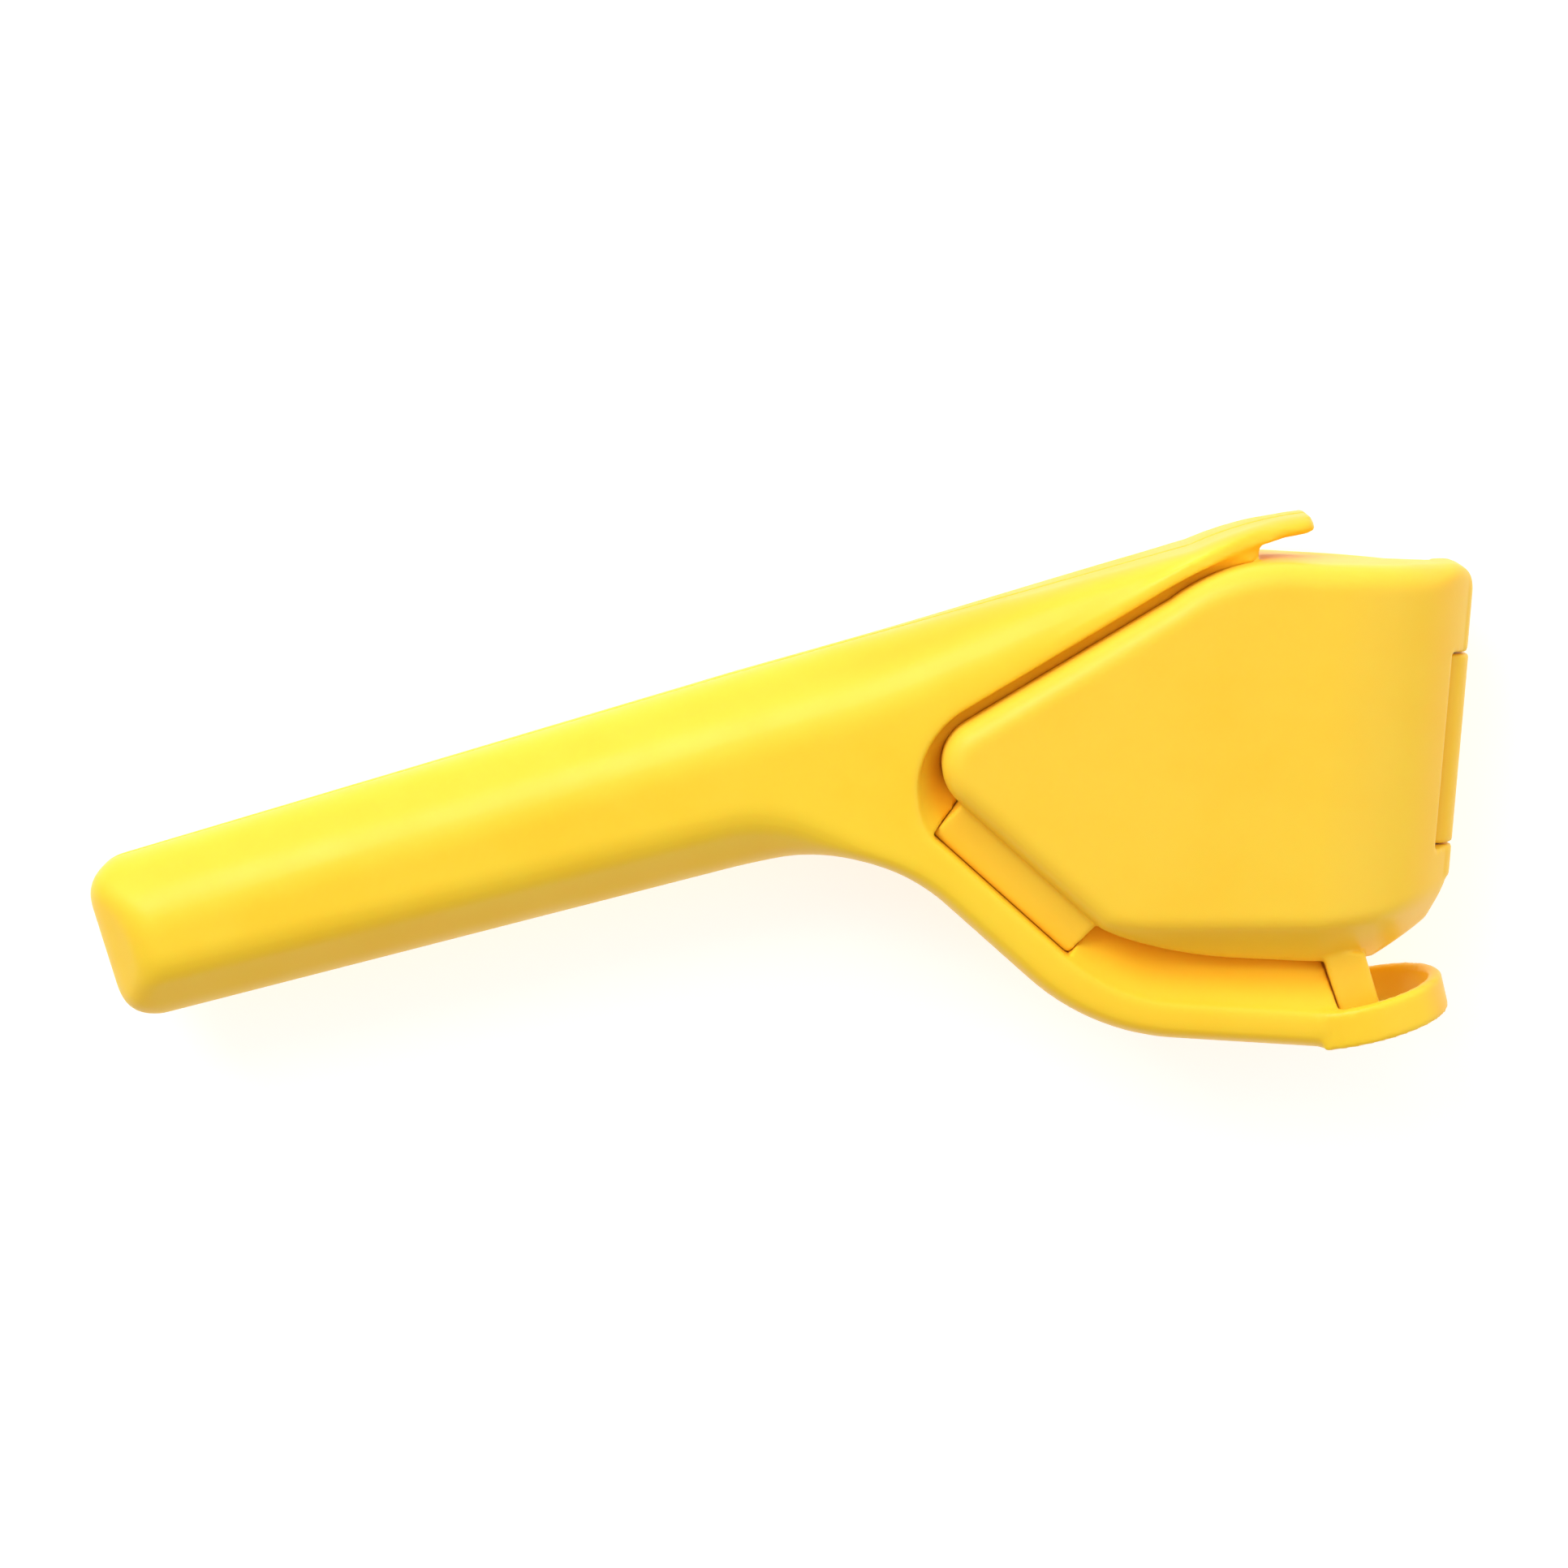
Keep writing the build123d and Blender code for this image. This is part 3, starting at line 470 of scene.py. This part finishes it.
def press_plate(x, y, z, leg):
    """Hollow plate with its ribs, lug and tab; the front one also has the leg into the ring."""
    outer = plate_skin(x, y, z)
    hollow = np.maximum(plate_skin(x, y, z, PLATE_WALL), x + KNUCKLE + PLATE_WALL)
    body = blend_min(outer, lug(x, y, z), LUG_FILLET)
    tab_plan = distance_to(path((TAB_LEFT[0], SHOULDER[1]), TAB_LEFT - (0, SEAM), TAB_RIGHT - (0, SEAM),
                                (TAB_RIGHT[0], SHOULDER[1])), x[..., 0], y[..., 0])[..., None]
    body = np.minimum(body, rounded(tab_plan + 0 * z, between(z, *TAB_Z) + 0 * tab_plan, TAB_ROUND))
    body = np.maximum(body, -hollow)
    body = np.minimum(body, np.maximum(ribs(x, y, z), hollow - RIB_LAP))
    if leg:
        side = beside_leg(x, y)
        post = rounded(between(side, 0, LEG_WIDTH) + 0 * z, between(z, *LEG_Z) + 0 * side, LEG_ROUND)
        post = np.maximum(post, between(y, BAND_TOP - LEG_REACH, PLATE_BOTTOM + PLATE_WALL))
        body = np.minimum(body, post)
    return np.maximum(body, -lug_bore(x, y, z))


def hinge_bore(x, y, z):
    """Bore for the hinge pin, from below the lowest knuckle to the cap over the pin."""
    return barrel(x, z, PIN, y, LOWER_BOTTOM - BORE_REACH, PLATE_TOP - PIN_CAP, BORE_ROUND)


def knuckle_room(x, y, z, low, high):
    """Room round the other half's knuckle, open towards the hinge side."""
    room = np.minimum(np.hypot(x, z) - KNUCKLE - SWING, SKIN_EDGE_X - x)
    return np.maximum(room, between(y, low - SWING, high + SWING))


def front_plate(x, y, z):
    """Press plate with the upper and lower knuckle."""
    body = np.maximum(press_plate(x, y, z, True), HALF_GAP - z)
    body = np.maximum(body, -knuckle_room(x, y, z, MIDDLE_BOTTOM, MIDDLE_TOP))
    plan = distance_to(PLATE_PLAN, *np.broadcast_arrays(x[..., 0], y[..., 0]))[..., None]
    upper = barrel(x, z, KNUCKLE, y, MIDDLE_TOP, PLATE_TOP + KNUCKLE_REACH, KNUCKLE_ROUND)
    upper = rounded(upper, plan + 0 * z, KNUCKLE_TOP_ROUND)
    lower = barrel(x, z, KNUCKLE, y, LOWER_BOTTOM, MIDDLE_BOTTOM, KNUCKLE_ROUND)
    body = np.minimum(body, np.minimum(upper, lower))
    return np.maximum(body, -hinge_bore(x, y, z))


def rear_plate(x, y, z):
    """The mirrored plate with the middle knuckle."""
    z = -z
    body = np.maximum(press_plate(x, y, z, False), HALF_GAP - z)
    top = PLATE_TOP - REAR_TOP_DROP * ramp(x, SHOULDER[0], TOP_END[0] - REAR_TOP_REACH)
    body = blend_max(body, y - top, REAR_TOP_ROUND)
    body = np.maximum(body, -knuckle_room(x, y, z, MIDDLE_TOP, PLATE_TOP + ROOM_REACH))
    body = np.maximum(body, -knuckle_room(x, y, z, PLATE_BOTTOM - ROOM_REACH, MIDDLE_BOTTOM))
    middle = barrel(x, z, KNUCKLE, y, MIDDLE_BOTTOM + SWING, MIDDLE_TOP - SWING, KNUCKLE_ROUND)
    body = np.minimum(body, middle)
    return np.maximum(body, -hinge_bore(x, y, z))


GRIP_HIGH = on_grip(0, GRIP_HEIGHT[0] / 2)
GRIP_LOW = on_grip(0, -GRIP_HEIGHT[0] / 2)
NECK_HIGH = on_grip(GRIP_LENGTH, GRIP_HEIGHT[1] / 2)
NECK_LOW = on_grip(GRIP_LENGTH, -GRIP_HEIGHT[1] / 2)
BAND_OFF = LEDGE_GAP + DIAGONAL_BAND
BAND_HEEL = meet(on_diagonal(0, BAND_OFF), on_diagonal(DIAGONAL_LENGTH, BAND_OFF), BAND_BOTTOM)
LOW_SLOPE = (NECK_LOW[1] - GRIP_LOW[1]) / (NECK_LOW[0] - GRIP_LOW[0])
BAND_SLOPE = ALONG[1] / ALONG[0]
NECK_RISE = GRIP_LOW[1] - BAND_HEEL[1] - LOW_SLOPE * GRIP_LOW[0] + BAND_SLOPE * BAND_HEEL[0]
NECK_X = NECK_RISE / (BAND_SLOPE - LOW_SLOPE)
NECK = (NECK_X, GRIP_LOW[1] + LOW_SLOPE * (NECK_X - GRIP_LOW[0]))
NECK_TURN = turn(GRIP_LOW, NECK, BAND_HEEL, NECK_RADIUS)
HEEL_TURN = turn(NECK, BAND_HEEL, (0.0, BAND_BOTTOM), HEEL_RADIUS)
WINDOW_HEEL = meet(WINDOW_FOOT, on_diagonal(DIAGONAL_LENGTH, LEDGE_GAP), BAND_TOP)
WINDOW_TURN = turn(WINDOW_FOOT, WINDOW_HEEL, (0.0, BAND_TOP), HEEL_RADIUS - DIAGONAL_BAND)
ARM_EDGE = arc(ARM_END, ARM_OVER, TIP_TOP)
WINDOW_EDGE = path(WINDOW_START, arc(WINDOW_NOSE, WINDOW_BACK, WINDOW_FOOT), WINDOW_FOOT,
                   arc(*WINDOW_TURN), WINDOW_TURN[2])


def handle_plan(band_end):
    """Outline of a whole handle: grip, neck, arm, prong, window edge and lower band. The middle
    of a round corner c lies k = c (1 - cos 45) inside both sides."""
    low, high = -GRIP_HEIGHT[0] / 2, GRIP_HEIGHT[0] / 2
    c = GRIP_CORNER
    k = c * (1 - COS_45)
    return path(
        arc(on_grip(c, low), on_grip(k, low + k), on_grip(0, low + c)),
        arc(on_grip(0, high - c), on_grip(k, high - k), on_grip(c, high)),
        on_grip(c, high), NECK_HIGH, ARM_EDGE, TIP_TOP, TIP_FRONT,
        arc(TIP_LOW, UNDER_PRONG, WINDOW_START), WINDOW_EDGE,
        (band_end, BAND_TOP), (band_end, BAND_BOTTOM),
        arc(*HEEL_TURN[::-1]), HEEL_TURN[0], arc(*NECK_TURN[::-1]), NECK_TURN[0])


TOP_LINE = path(GRIP_HIGH, NECK_HIGH, ARM_EDGE, PRONG_TIP)
LOW_LINE = path(GRIP_LOW, arc(*NECK_TURN), NECK_TURN[2], arc(*HEEL_TURN), HEEL_TURN[2],
                (RING_LEFT_X, BAND_BOTTOM))
WINDOW_LINE = path(UNDER[TAB_FIRST:], WINDOW_EDGE, (0.0, BAND_TOP))
WINDOW_ROOM = path(WINDOW_LINE, TOE[2], TOP_END)


def prong_drop(x, y):
    """How far the front of the prong lies below the frame's: smooth steps along x and y."""
    return PRONG_DROP * ramp(x, *PRONG_DROP_X) * ramp(y, *PRONG_DROP_Y)


def handle_shell(x, y, z, band_end):
    """Distance outside a handle's outer shape: its plan, the front that rises to the frame, and
    the facets along its top, bottom and end. A facet of width w lies where z reaches
    front - w + distance from its edge."""
    x2, y2 = np.broadcast_arrays(x[..., 0], y[..., 0])
    plan = distance_to(handle_plan(band_end), x2, y2)
    run = along_grip(x2, y2)
    front = GRIP_DEPTH + (FRAME_DEPTH - GRIP_DEPTH) * np.clip(run / GRIP_LENGTH, 0, 1)
    front = front - prong_drop(x2, y2)
    top_width = FACET_TOP - FACET_TOP_LOSS * ramp(x2, *FACET_TOP_X)
    low_width = FACET_BOTTOM - FACET_LOW_LOSS * ramp(x2, *FACET_LOW_X)
    top = front - top_width + distance_to(TOP_LINE, x2, y2, closed=False)
    low = front - low_width + distance_to(LOW_LINE, x2, y2, closed=False)
    end = front - FACET_END + run
    soft = (FACET_SOFT - FACET_SOFT_LOSS * ramp(x2, *FACET_SOFT_X))[..., None]
    shape = blend_max(z - front[..., None], COS_45 * (z - top[..., None]), FACET_TOP_SOFT)
    shape = blend_max(shape, COS_45 * (z - low[..., None]), soft)
    shape = blend_max(shape, COS_45 * (z - end[..., None]), soft)
    away = ramp(distance_to(WINDOW_LINE, x2, y2, closed=False), *EDGE_REACH)[..., None]
    edge = EDGE_ROUND + EDGE_GROWTH * away
    return blend_max(shape, np.broadcast_to(plan[..., None], shape.shape), edge)


def ledge(x, y, z, wall_end):
    """Sloped inner wall round the window: at the lip it meets the window's edge and at the foot
    it reaches the plate. It runs from under the prong to the leg and leaves room for the lug."""
    x2, y2 = np.broadcast_arrays(x[..., 0], y[..., 0])
    inward = distance_to(WINDOW_LINE, x2, y2, closed=False)[..., None]
    inward = np.where(distance_to(WINDOW_ROOM, x2, y2)[..., None] < 0, inward, -inward)
    room = np.maximum(inward, 0) + distance_to(PLATE_PLAN, x2, y2)[..., None]
    arm = ramp(y2, *LEDGE_ARM_Y)[..., None]
    foot = LEDGE_FOOT[0] + (LEDGE_FOOT[1] - LEDGE_FOOT[0]) * arm
    lip = LEDGE_LIP[0] + (LEDGE_LIP[1] - LEDGE_LIP[0]) * arm
    lean = np.clip((lip - z) / (lip - foot), 0, 1)
    top = (FRAME_DEPTH - LIP_DROP - LIP_FALL * prong_drop(x2, y2))[..., None]
    wall = np.maximum(LEDGE_SCALE * (inward - lean * np.maximum(room, 0)), z - top)
    wall = np.maximum(wall, np.maximum(-LEDGE_BACK - inward, np.minimum(x - TAB_RIGHT[0], y)))
    side = beside_leg(x, y)
    leg_room = np.minimum(np.minimum(side + SEAM, z - LEG_Z[0] + SEAM), -y)
    wall = np.maximum(wall, np.maximum(leg_room, x - wall_end))
    run, off = along_edge(x, y)
    notch = np.maximum(between(run, LUG_START - LUG_SEAM, LUG_START + LUG_LENGTH + LUG_SEAM),
                       between(off, -NOTCH_BACK, LEDGE_GAP))
    return np.maximum(wall, -notch)


def handle(x, y, z, band_end, wall_end):
    """Handle of one half: shell, hollow grip and neck with cross ribs, and the inner wall."""
    outer = handle_shell(x, y, z, band_end)
    hollow = np.maximum(outer + HANDLE_WALL, x - GRIP_HOLLOW_X + 0 * y)
    run = along_grip(x, y)
    number = np.clip(np.round(run / HANDLE_RIB_PITCH), *HANDLE_RIBS)
    bars = np.abs(run - number * HANDLE_RIB_PITCH) - RIB / 2
    body = np.maximum(outer, -np.maximum(hollow, -bars))
    body = blend_min(body, ledge(x, y, z, wall_end), LEDGE_FILLET)
    body = np.maximum(body, -lug_bore(x, y, z))
    return np.maximum(body, HALF_GAP - z)


RING_PLAN = path((RING_CORNER, FRAME_DEPTH), (0, FRAME_DEPTH), (0, -RING_BACK_Z),
                 arc((RING_CORNER, -RING_BACK), (RING_LENGTH, (FRAME_DEPTH - RING_BACK) / 2),
                     (RING_CORNER, FRAME_DEPTH)))


def ring(x, y, z):
    """Thin wall round the spout hole: its plan, kept within one wall of its outline and turned
    upward about the corner where the straight band ends."""
    along = (x - RING_LEFT_X) * math.cos(RING_TILT) + (y - BAND_BOTTOM) * math.sin(RING_TILT)
    up = (y - BAND_BOTTOM) * math.cos(RING_TILT) - (x - RING_LEFT_X) * math.sin(RING_TILT)
    plan = distance_to(RING_PLAN, *np.broadcast_arrays(along, z))
    wall = np.abs(plan + RING_WALL / 2) - RING_WALL / 2
    return rounded(wall, between(up, 0, RING_HEIGHT) + 0 * wall, RING_ROUND)


def front_handle(x, y, z):
    """Front handle with the spout ring at the end of its lower band."""
    body = handle(x, y, z, RING_LEFT_X + RING_LAP, RING_LEFT_X + RING_WALL)
    return blend_min(body, ring(x, y, z), RING_FILLET)


def rear_handle(x, y, z):
    """Rear handle: mirrored, its lower band ending before the ring."""
    return handle(x, y, -z, REAR_BAND_END_X, REAR_BAND_END_X)


# ---------------------------------------------------------------- materials
# Painted shade: the yellow is painted orange toward the closing plane, standing in for the shade deep in
# the gaps between the two halves.
PAINTED_SHADE_DEPTH = (0.0085, 0.0135)     # metres from the closing plane, from full painted shade to none
PAINTED_SHADE_X = (-0.01, 0.03)        # metres along x, from the grip's share of the painted shade to the whole
PAINTED_SHADE_GRIP = 0.35                  # share of the painted shade that the grip gets
PAINTED_SHADE_ORANGE = (1.0, 0.42, 0.01, 1)
MIX_SHARE, MIX_FIRST, MIX_SECOND, MIX_RESULT = 0, 6, 7, 2     # sockets of a colour mix node


class Node:
    """A node socket whose operators add Math nodes, so shader maths reads as an expression."""

    def __init__(self, tree, socket):
        self.tree = tree
        self.socket = socket

    def math(self, operation, *values):
        """Math node over some values."""
        return self.tree.node("ShaderNodeMath", {"operation": operation}, values).out()

    def __add__(self, other):
        return self.math("ADD", self, other)

    def __sub__(self, other):
        return self.math("SUBTRACT", self, other)

    def __rsub__(self, other):
        return self.math("SUBTRACT", other, self)

    def __mul__(self, other):
        return self.math("MULTIPLY", self, other)

    __radd__ = __add__
    __rmul__ = __mul__

    def ramped(self, low, high, to_low=0.0, to_high=1.0):
        """Smooth step of this value from low to high."""
        settings = {"interpolation_type": "SMOOTHSTEP"}
        return self.tree.node("ShaderNodeMapRange", settings, (self, low, high, to_low, to_high)).out()


class Made:
    """A node just made, whose outputs are taken by number or name."""

    def __init__(self, tree, node):
        self.tree = tree
        self.node = node

    def out(self, key=0):
        """One of its output sockets."""
        return Node(self.tree, self.node.outputs[key])


class Finish:
    """Node tree of one material around its Principled shader."""

    def __init__(self, name, **constants):
        self.material = bpy.data.materials.new(name)
        self.material.use_nodes = True
        self.nodes = self.material.node_tree.nodes
        self.links = self.material.node_tree.links
        self.shader = self.nodes["Principled BSDF"]
        for key, value in constants.items():
            self.shader.inputs[key.replace("_", " ")].default_value = value
        self.place = self.node("ShaderNodeTexCoord", {}, ()).out("Object")

    def node(self, kind, settings, values):
        """Node of a type with its settings, then the values or links of its sockets: a tuple in
        their order or a dict by name or number."""
        node = self.nodes.new(kind)
        for key, value in settings.items():
            setattr(node, key, value)
        pairs = values.items() if isinstance(values, dict) else enumerate(values)
        for key, value in pairs:
            if isinstance(value, Node):
                self.links.new(value.socket, node.inputs[key])
            else:
                node.inputs[key].default_value = value
        return Made(self, node)

    def noise(self, scale, detail=2.0, stretch=(1, 1, 1), rough=0.5):
        """Noise over the object's own coordinates, scale in waves per metre."""
        spread = self.node("ShaderNodeVectorMath", {"operation": "MULTIPLY"}, (self.place, stretch)).out()
        values = {"Vector": spread, "Scale": scale, "Detail": detail, "Roughness": rough}
        return self.node("ShaderNodeTexNoise", {}, values).out("Fac")

    def mix(self, share, first, second):
        """Colour between two colours."""
        values = {MIX_SHARE: share, MIX_FIRST: first, MIX_SECOND: second}
        return self.node("ShaderNodeMix", {"data_type": "RGBA"}, values).out(MIX_RESULT)

    def feed(self, key, value):
        """Link a value to the shader."""
        self.links.new(value.socket, self.shader.inputs[key])

    def relief(self, height, strength, depth):
        """Bump from a height of a given depth in metres."""
        values = {"Strength": strength, "Distance": depth, "Height": height}
        self.feed("Normal", self.node("ShaderNodeBump", {}, values).out("Normal"))


def moulded_yellow(name, light, deep, painted_shade_share):
    """Satin yellow plastic: slow swirls of deeper colour from the mould's flow, faint sink
    marks, a fine skin grain and small dull patches from handling. Toward the closing plane the
    colour is painted deeper orange by the painted shade share: painted shade for the shaded gaps
    between the halves, less along the grip than round the window."""
    finish = Finish(name, Roughness=0.4, IOR=1.48, Subsurface_Weight=0.25, Subsurface_Scale=0.004,
                    Specular_IOR_Level=0.3)
    finish.shader.inputs["Subsurface Radius"].default_value = (1.0, 0.4, 0.08)
    flow = finish.noise(scale=26, detail=3.0, stretch=(1.0, 1.6, 1.6))
    cloud = finish.noise(scale=120)
    swirl = finish.mix((flow * 0.7 + cloud * 0.3).ramped(0.34, 0.66), light, deep)
    spot = finish.node("ShaderNodeSeparateXYZ", {}, (finish.place,))
    height = spot.out("Z") - HINGE[2] * MM
    inner = height.math("ABSOLUTE", height)
    # Painted shade: orange toward the closing plane, weaker along the grip.
    painted_shade = inner.ramped(*PAINTED_SHADE_DEPTH, painted_shade_share, 0.0) * spot.out("X").ramped(*PAINTED_SHADE_X, PAINTED_SHADE_GRIP, 1.0)
    finish.feed("Base Color", finish.mix(painted_shade, swirl, PAINTED_SHADE_ORANGE))
    handled = finish.noise(scale=70, detail=4.0)
    grain = finish.noise(scale=2600)
    finish.feed("Roughness", handled.ramped(0.35, 0.75, to_low=0.34, to_high=0.44) + grain * 0.03)
    finish.relief(finish.noise(scale=60) + grain * 0.05, strength=0.12, depth=0.0004)
    return finish.material


def brushed_steel(name):
    """Steel pin: fine turning lines round its length, a little duller where they are deeper."""
    finish = Finish(name, Metallic=1.0, Roughness=0.32)
    lines = finish.noise(scale=900, detail=3.0, stretch=(0.05, 1.0, 0.05))
    finish.feed("Base Color", finish.mix(lines, (0.46, 0.46, 0.47, 1), (0.62, 0.62, 0.63, 1)))
    finish.feed("Roughness", lines.ramped(0.3, 0.7, to_low=0.26, to_high=0.42))
    finish.relief(lines, strength=0.3, depth=0.00005)
    return finish.material


def paper_floor(name):
    """White light table with a very faint mottle, lit a little from below."""
    finish = Finish(name, Roughness=0.9, Emission_Strength=0.7)
    cloud = finish.noise(scale=3)
    finish.feed("Base Color", finish.mix(cloud, (0.48, 0.48, 0.48, 1), (0.52, 0.52, 0.52, 1)))
    finish.feed("Emission Color", finish.mix(cloud, (0.97, 0.97, 0.97, 1), (1.0, 1.0, 1.0, 1)))
    return finish.material


# The last argument is the strength of the painted shade toward the closing plane: more on the handles, less
# on the plates.
HANDLE_YELLOW = moulded_yellow("handle_yellow", light=(1.0, 0.715, 0.045, 1),
                               deep=(1.0, 0.68, 0.035, 1), painted_shade_share=0.42)
PLATE_YELLOW = moulded_yellow("plate_yellow", light=(1.0, 0.68, 0.055, 1),
                              deep=(1.0, 0.65, 0.045, 1), painted_shade_share=0.15)
PIN_STEEL = brushed_steel("pin_steel")

# Boxes that hold the mouldings: low corner, high corner.
FRONT_HANDLE_BOX = ((-223.0, -64.0, -15.5), (RING_LEFT_X + RING_LENGTH, 37.0, 15.5))
REAR_HANDLE_BOX = ((-223.0, -64.0, -14.5), (-12.0, 37.0, 0.0))
FRONT_PLATE_BOX = ((-83.0, -49.0, -4.5), (5.0, 33.5, 18.0))
REAR_PLATE_BOX = ((-83.0, -49.0, -18.0), (5.0, 33.5, 4.5))
moulded("front_handle_moulding", "front_half", "front_handle", front_handle,
        FRONT_HANDLE_BOX, HANDLE_YELLOW, HANDLE_GRID)
moulded("front_plate_moulding", "front_half", "front_press_plate", front_plate,
        FRONT_PLATE_BOX, PLATE_YELLOW, PLATE_GRID)
moulded("rear_plate_moulding", "rear_half", "rear_press_plate", rear_plate,
        REAR_PLATE_BOX, PLATE_YELLOW, PLATE_GRID)
moulded("rear_handle_moulding", "rear_half", "rear_handle", rear_handle,
        REAR_HANDLE_BOX, HANDLE_YELLOW, HANDLE_GRID)
for pin in ("main_hinge_pin", "front_lug_pin", "rear_lug_pin"):
    for slot in bpy.data.objects[pin].material_slots:
        slot.material = PIN_STEEL


# ---------------------------------------------------------------- ground, light and camera
def ground(name, reach):
    """Flat square at the height of the rest faces."""
    mesh = bpy.data.meshes.new(name)
    mesh.from_pydata([(-reach, -reach, 0), (reach, -reach, 0), (reach, reach, 0), (-reach, reach, 0)],
                     [], [(0, 1, 2, 3)])
    mesh.materials.append(paper_floor("ground_paper"))
    sheet = bpy.data.objects.new(name, mesh)
    bpy.context.scene.collection.objects.link(sheet)


def lamp(name, place, aim, size, power):
    """Square soft lamp facing a point."""
    light = bpy.data.lights.new(name, "AREA")
    light.shape = "SQUARE"
    light.size = size
    light.energy = power
    stand = bpy.data.objects.new(name, light)
    stand.location = place
    stand.rotation_euler = (Vector(aim) - Vector(place)).to_track_quat("-Z", "Y").to_euler()
    bpy.context.scene.collection.objects.link(stand)


def look(place, aim, roll, focal):
    """Camera at a place, facing a point and turned about its own line of sight."""
    lens = bpy.data.cameras.new("camera")
    lens.sensor_width = SENSOR_WIDTH
    lens.lens = focal
    camera = bpy.data.objects.new("camera", lens)
    back = (Vector(place) - Vector(aim)).normalized()
    side = Vector((0, 1, 0)).cross(back).normalized()
    turn = Matrix((side, back.cross(side), back)).transposed().to_4x4()
    camera.matrix_world = Matrix.Translation(place) @ turn @ Matrix.Rotation(roll, 4, "Z")
    bpy.context.scene.collection.objects.link(camera)
    bpy.context.scene.camera = camera


def room(span, light, warm):
    """Light from all round, warm and weak from below, white and stronger from above: both follow
    the direction's y from one end of a span to the other."""
    world = bpy.data.worlds.new("room")
    world.use_nodes = True
    sky = world.node_tree.nodes
    links = world.node_tree.links
    way = sky.new("ShaderNodeTexCoord")
    parts = sky.new("ShaderNodeSeparateXYZ")
    shade = sky.new("ShaderNodeMapRange")
    for key, value in zip(("From Min", "From Max", "To Min", "To Max"), span + light):
        shade.inputs[key].default_value = value
    warmth = sky.new("ShaderNodeMix")
    warmth.data_type = "RGBA"
    warmth.inputs[MIX_FIRST].default_value = warm
    warmth.inputs[MIX_SECOND].default_value = (1, 1, 1, 1)
    links.new(way.outputs["Generated"], parts.inputs[0])
    links.new(parts.outputs["Y"], shade.inputs["Value"])
    links.new(shade.outputs[0], sky["Background"].inputs["Strength"])
    links.new(shade.outputs[0], warmth.inputs[MIX_SHARE])
    links.new(warmth.outputs[MIX_RESULT], sky["Background"].inputs["Color"])
    bpy.context.scene.world = world


AIM = (HINGE + np.array((-107.4, -16.0, 0.0))) * MM
DISTANCE = 0.65
ELEVATION = math.radians(9.5)
ROLL = math.radians(3.5)
FOCAL = 89.6
SENSOR_WIDTH = 36.0
SKY_SPAN = (-0.9, 0.7)        # the light from all round grows between these y of its direction
SKY_LIGHT = (0.28, 0.98)
SKY_WARM = (1.0, 0.5, 0.18, 1)

ground("ground", reach=4.0)
look(AIM + DISTANCE * np.array((0, math.sin(ELEVATION), math.cos(ELEVATION))), AIM, ROLL, FOCAL)
lamp("key", AIM + (-0.55, 0.75, 0.75), AIM, size=0.7, power=8.0)
lamp("fill", AIM + (0.9, -0.2, 0.8), AIM, size=1.0, power=2.2)
room(SKY_SPAN, SKY_LIGHT, SKY_WARM)
bpy.context.scene.view_settings.view_transform = "Standard"
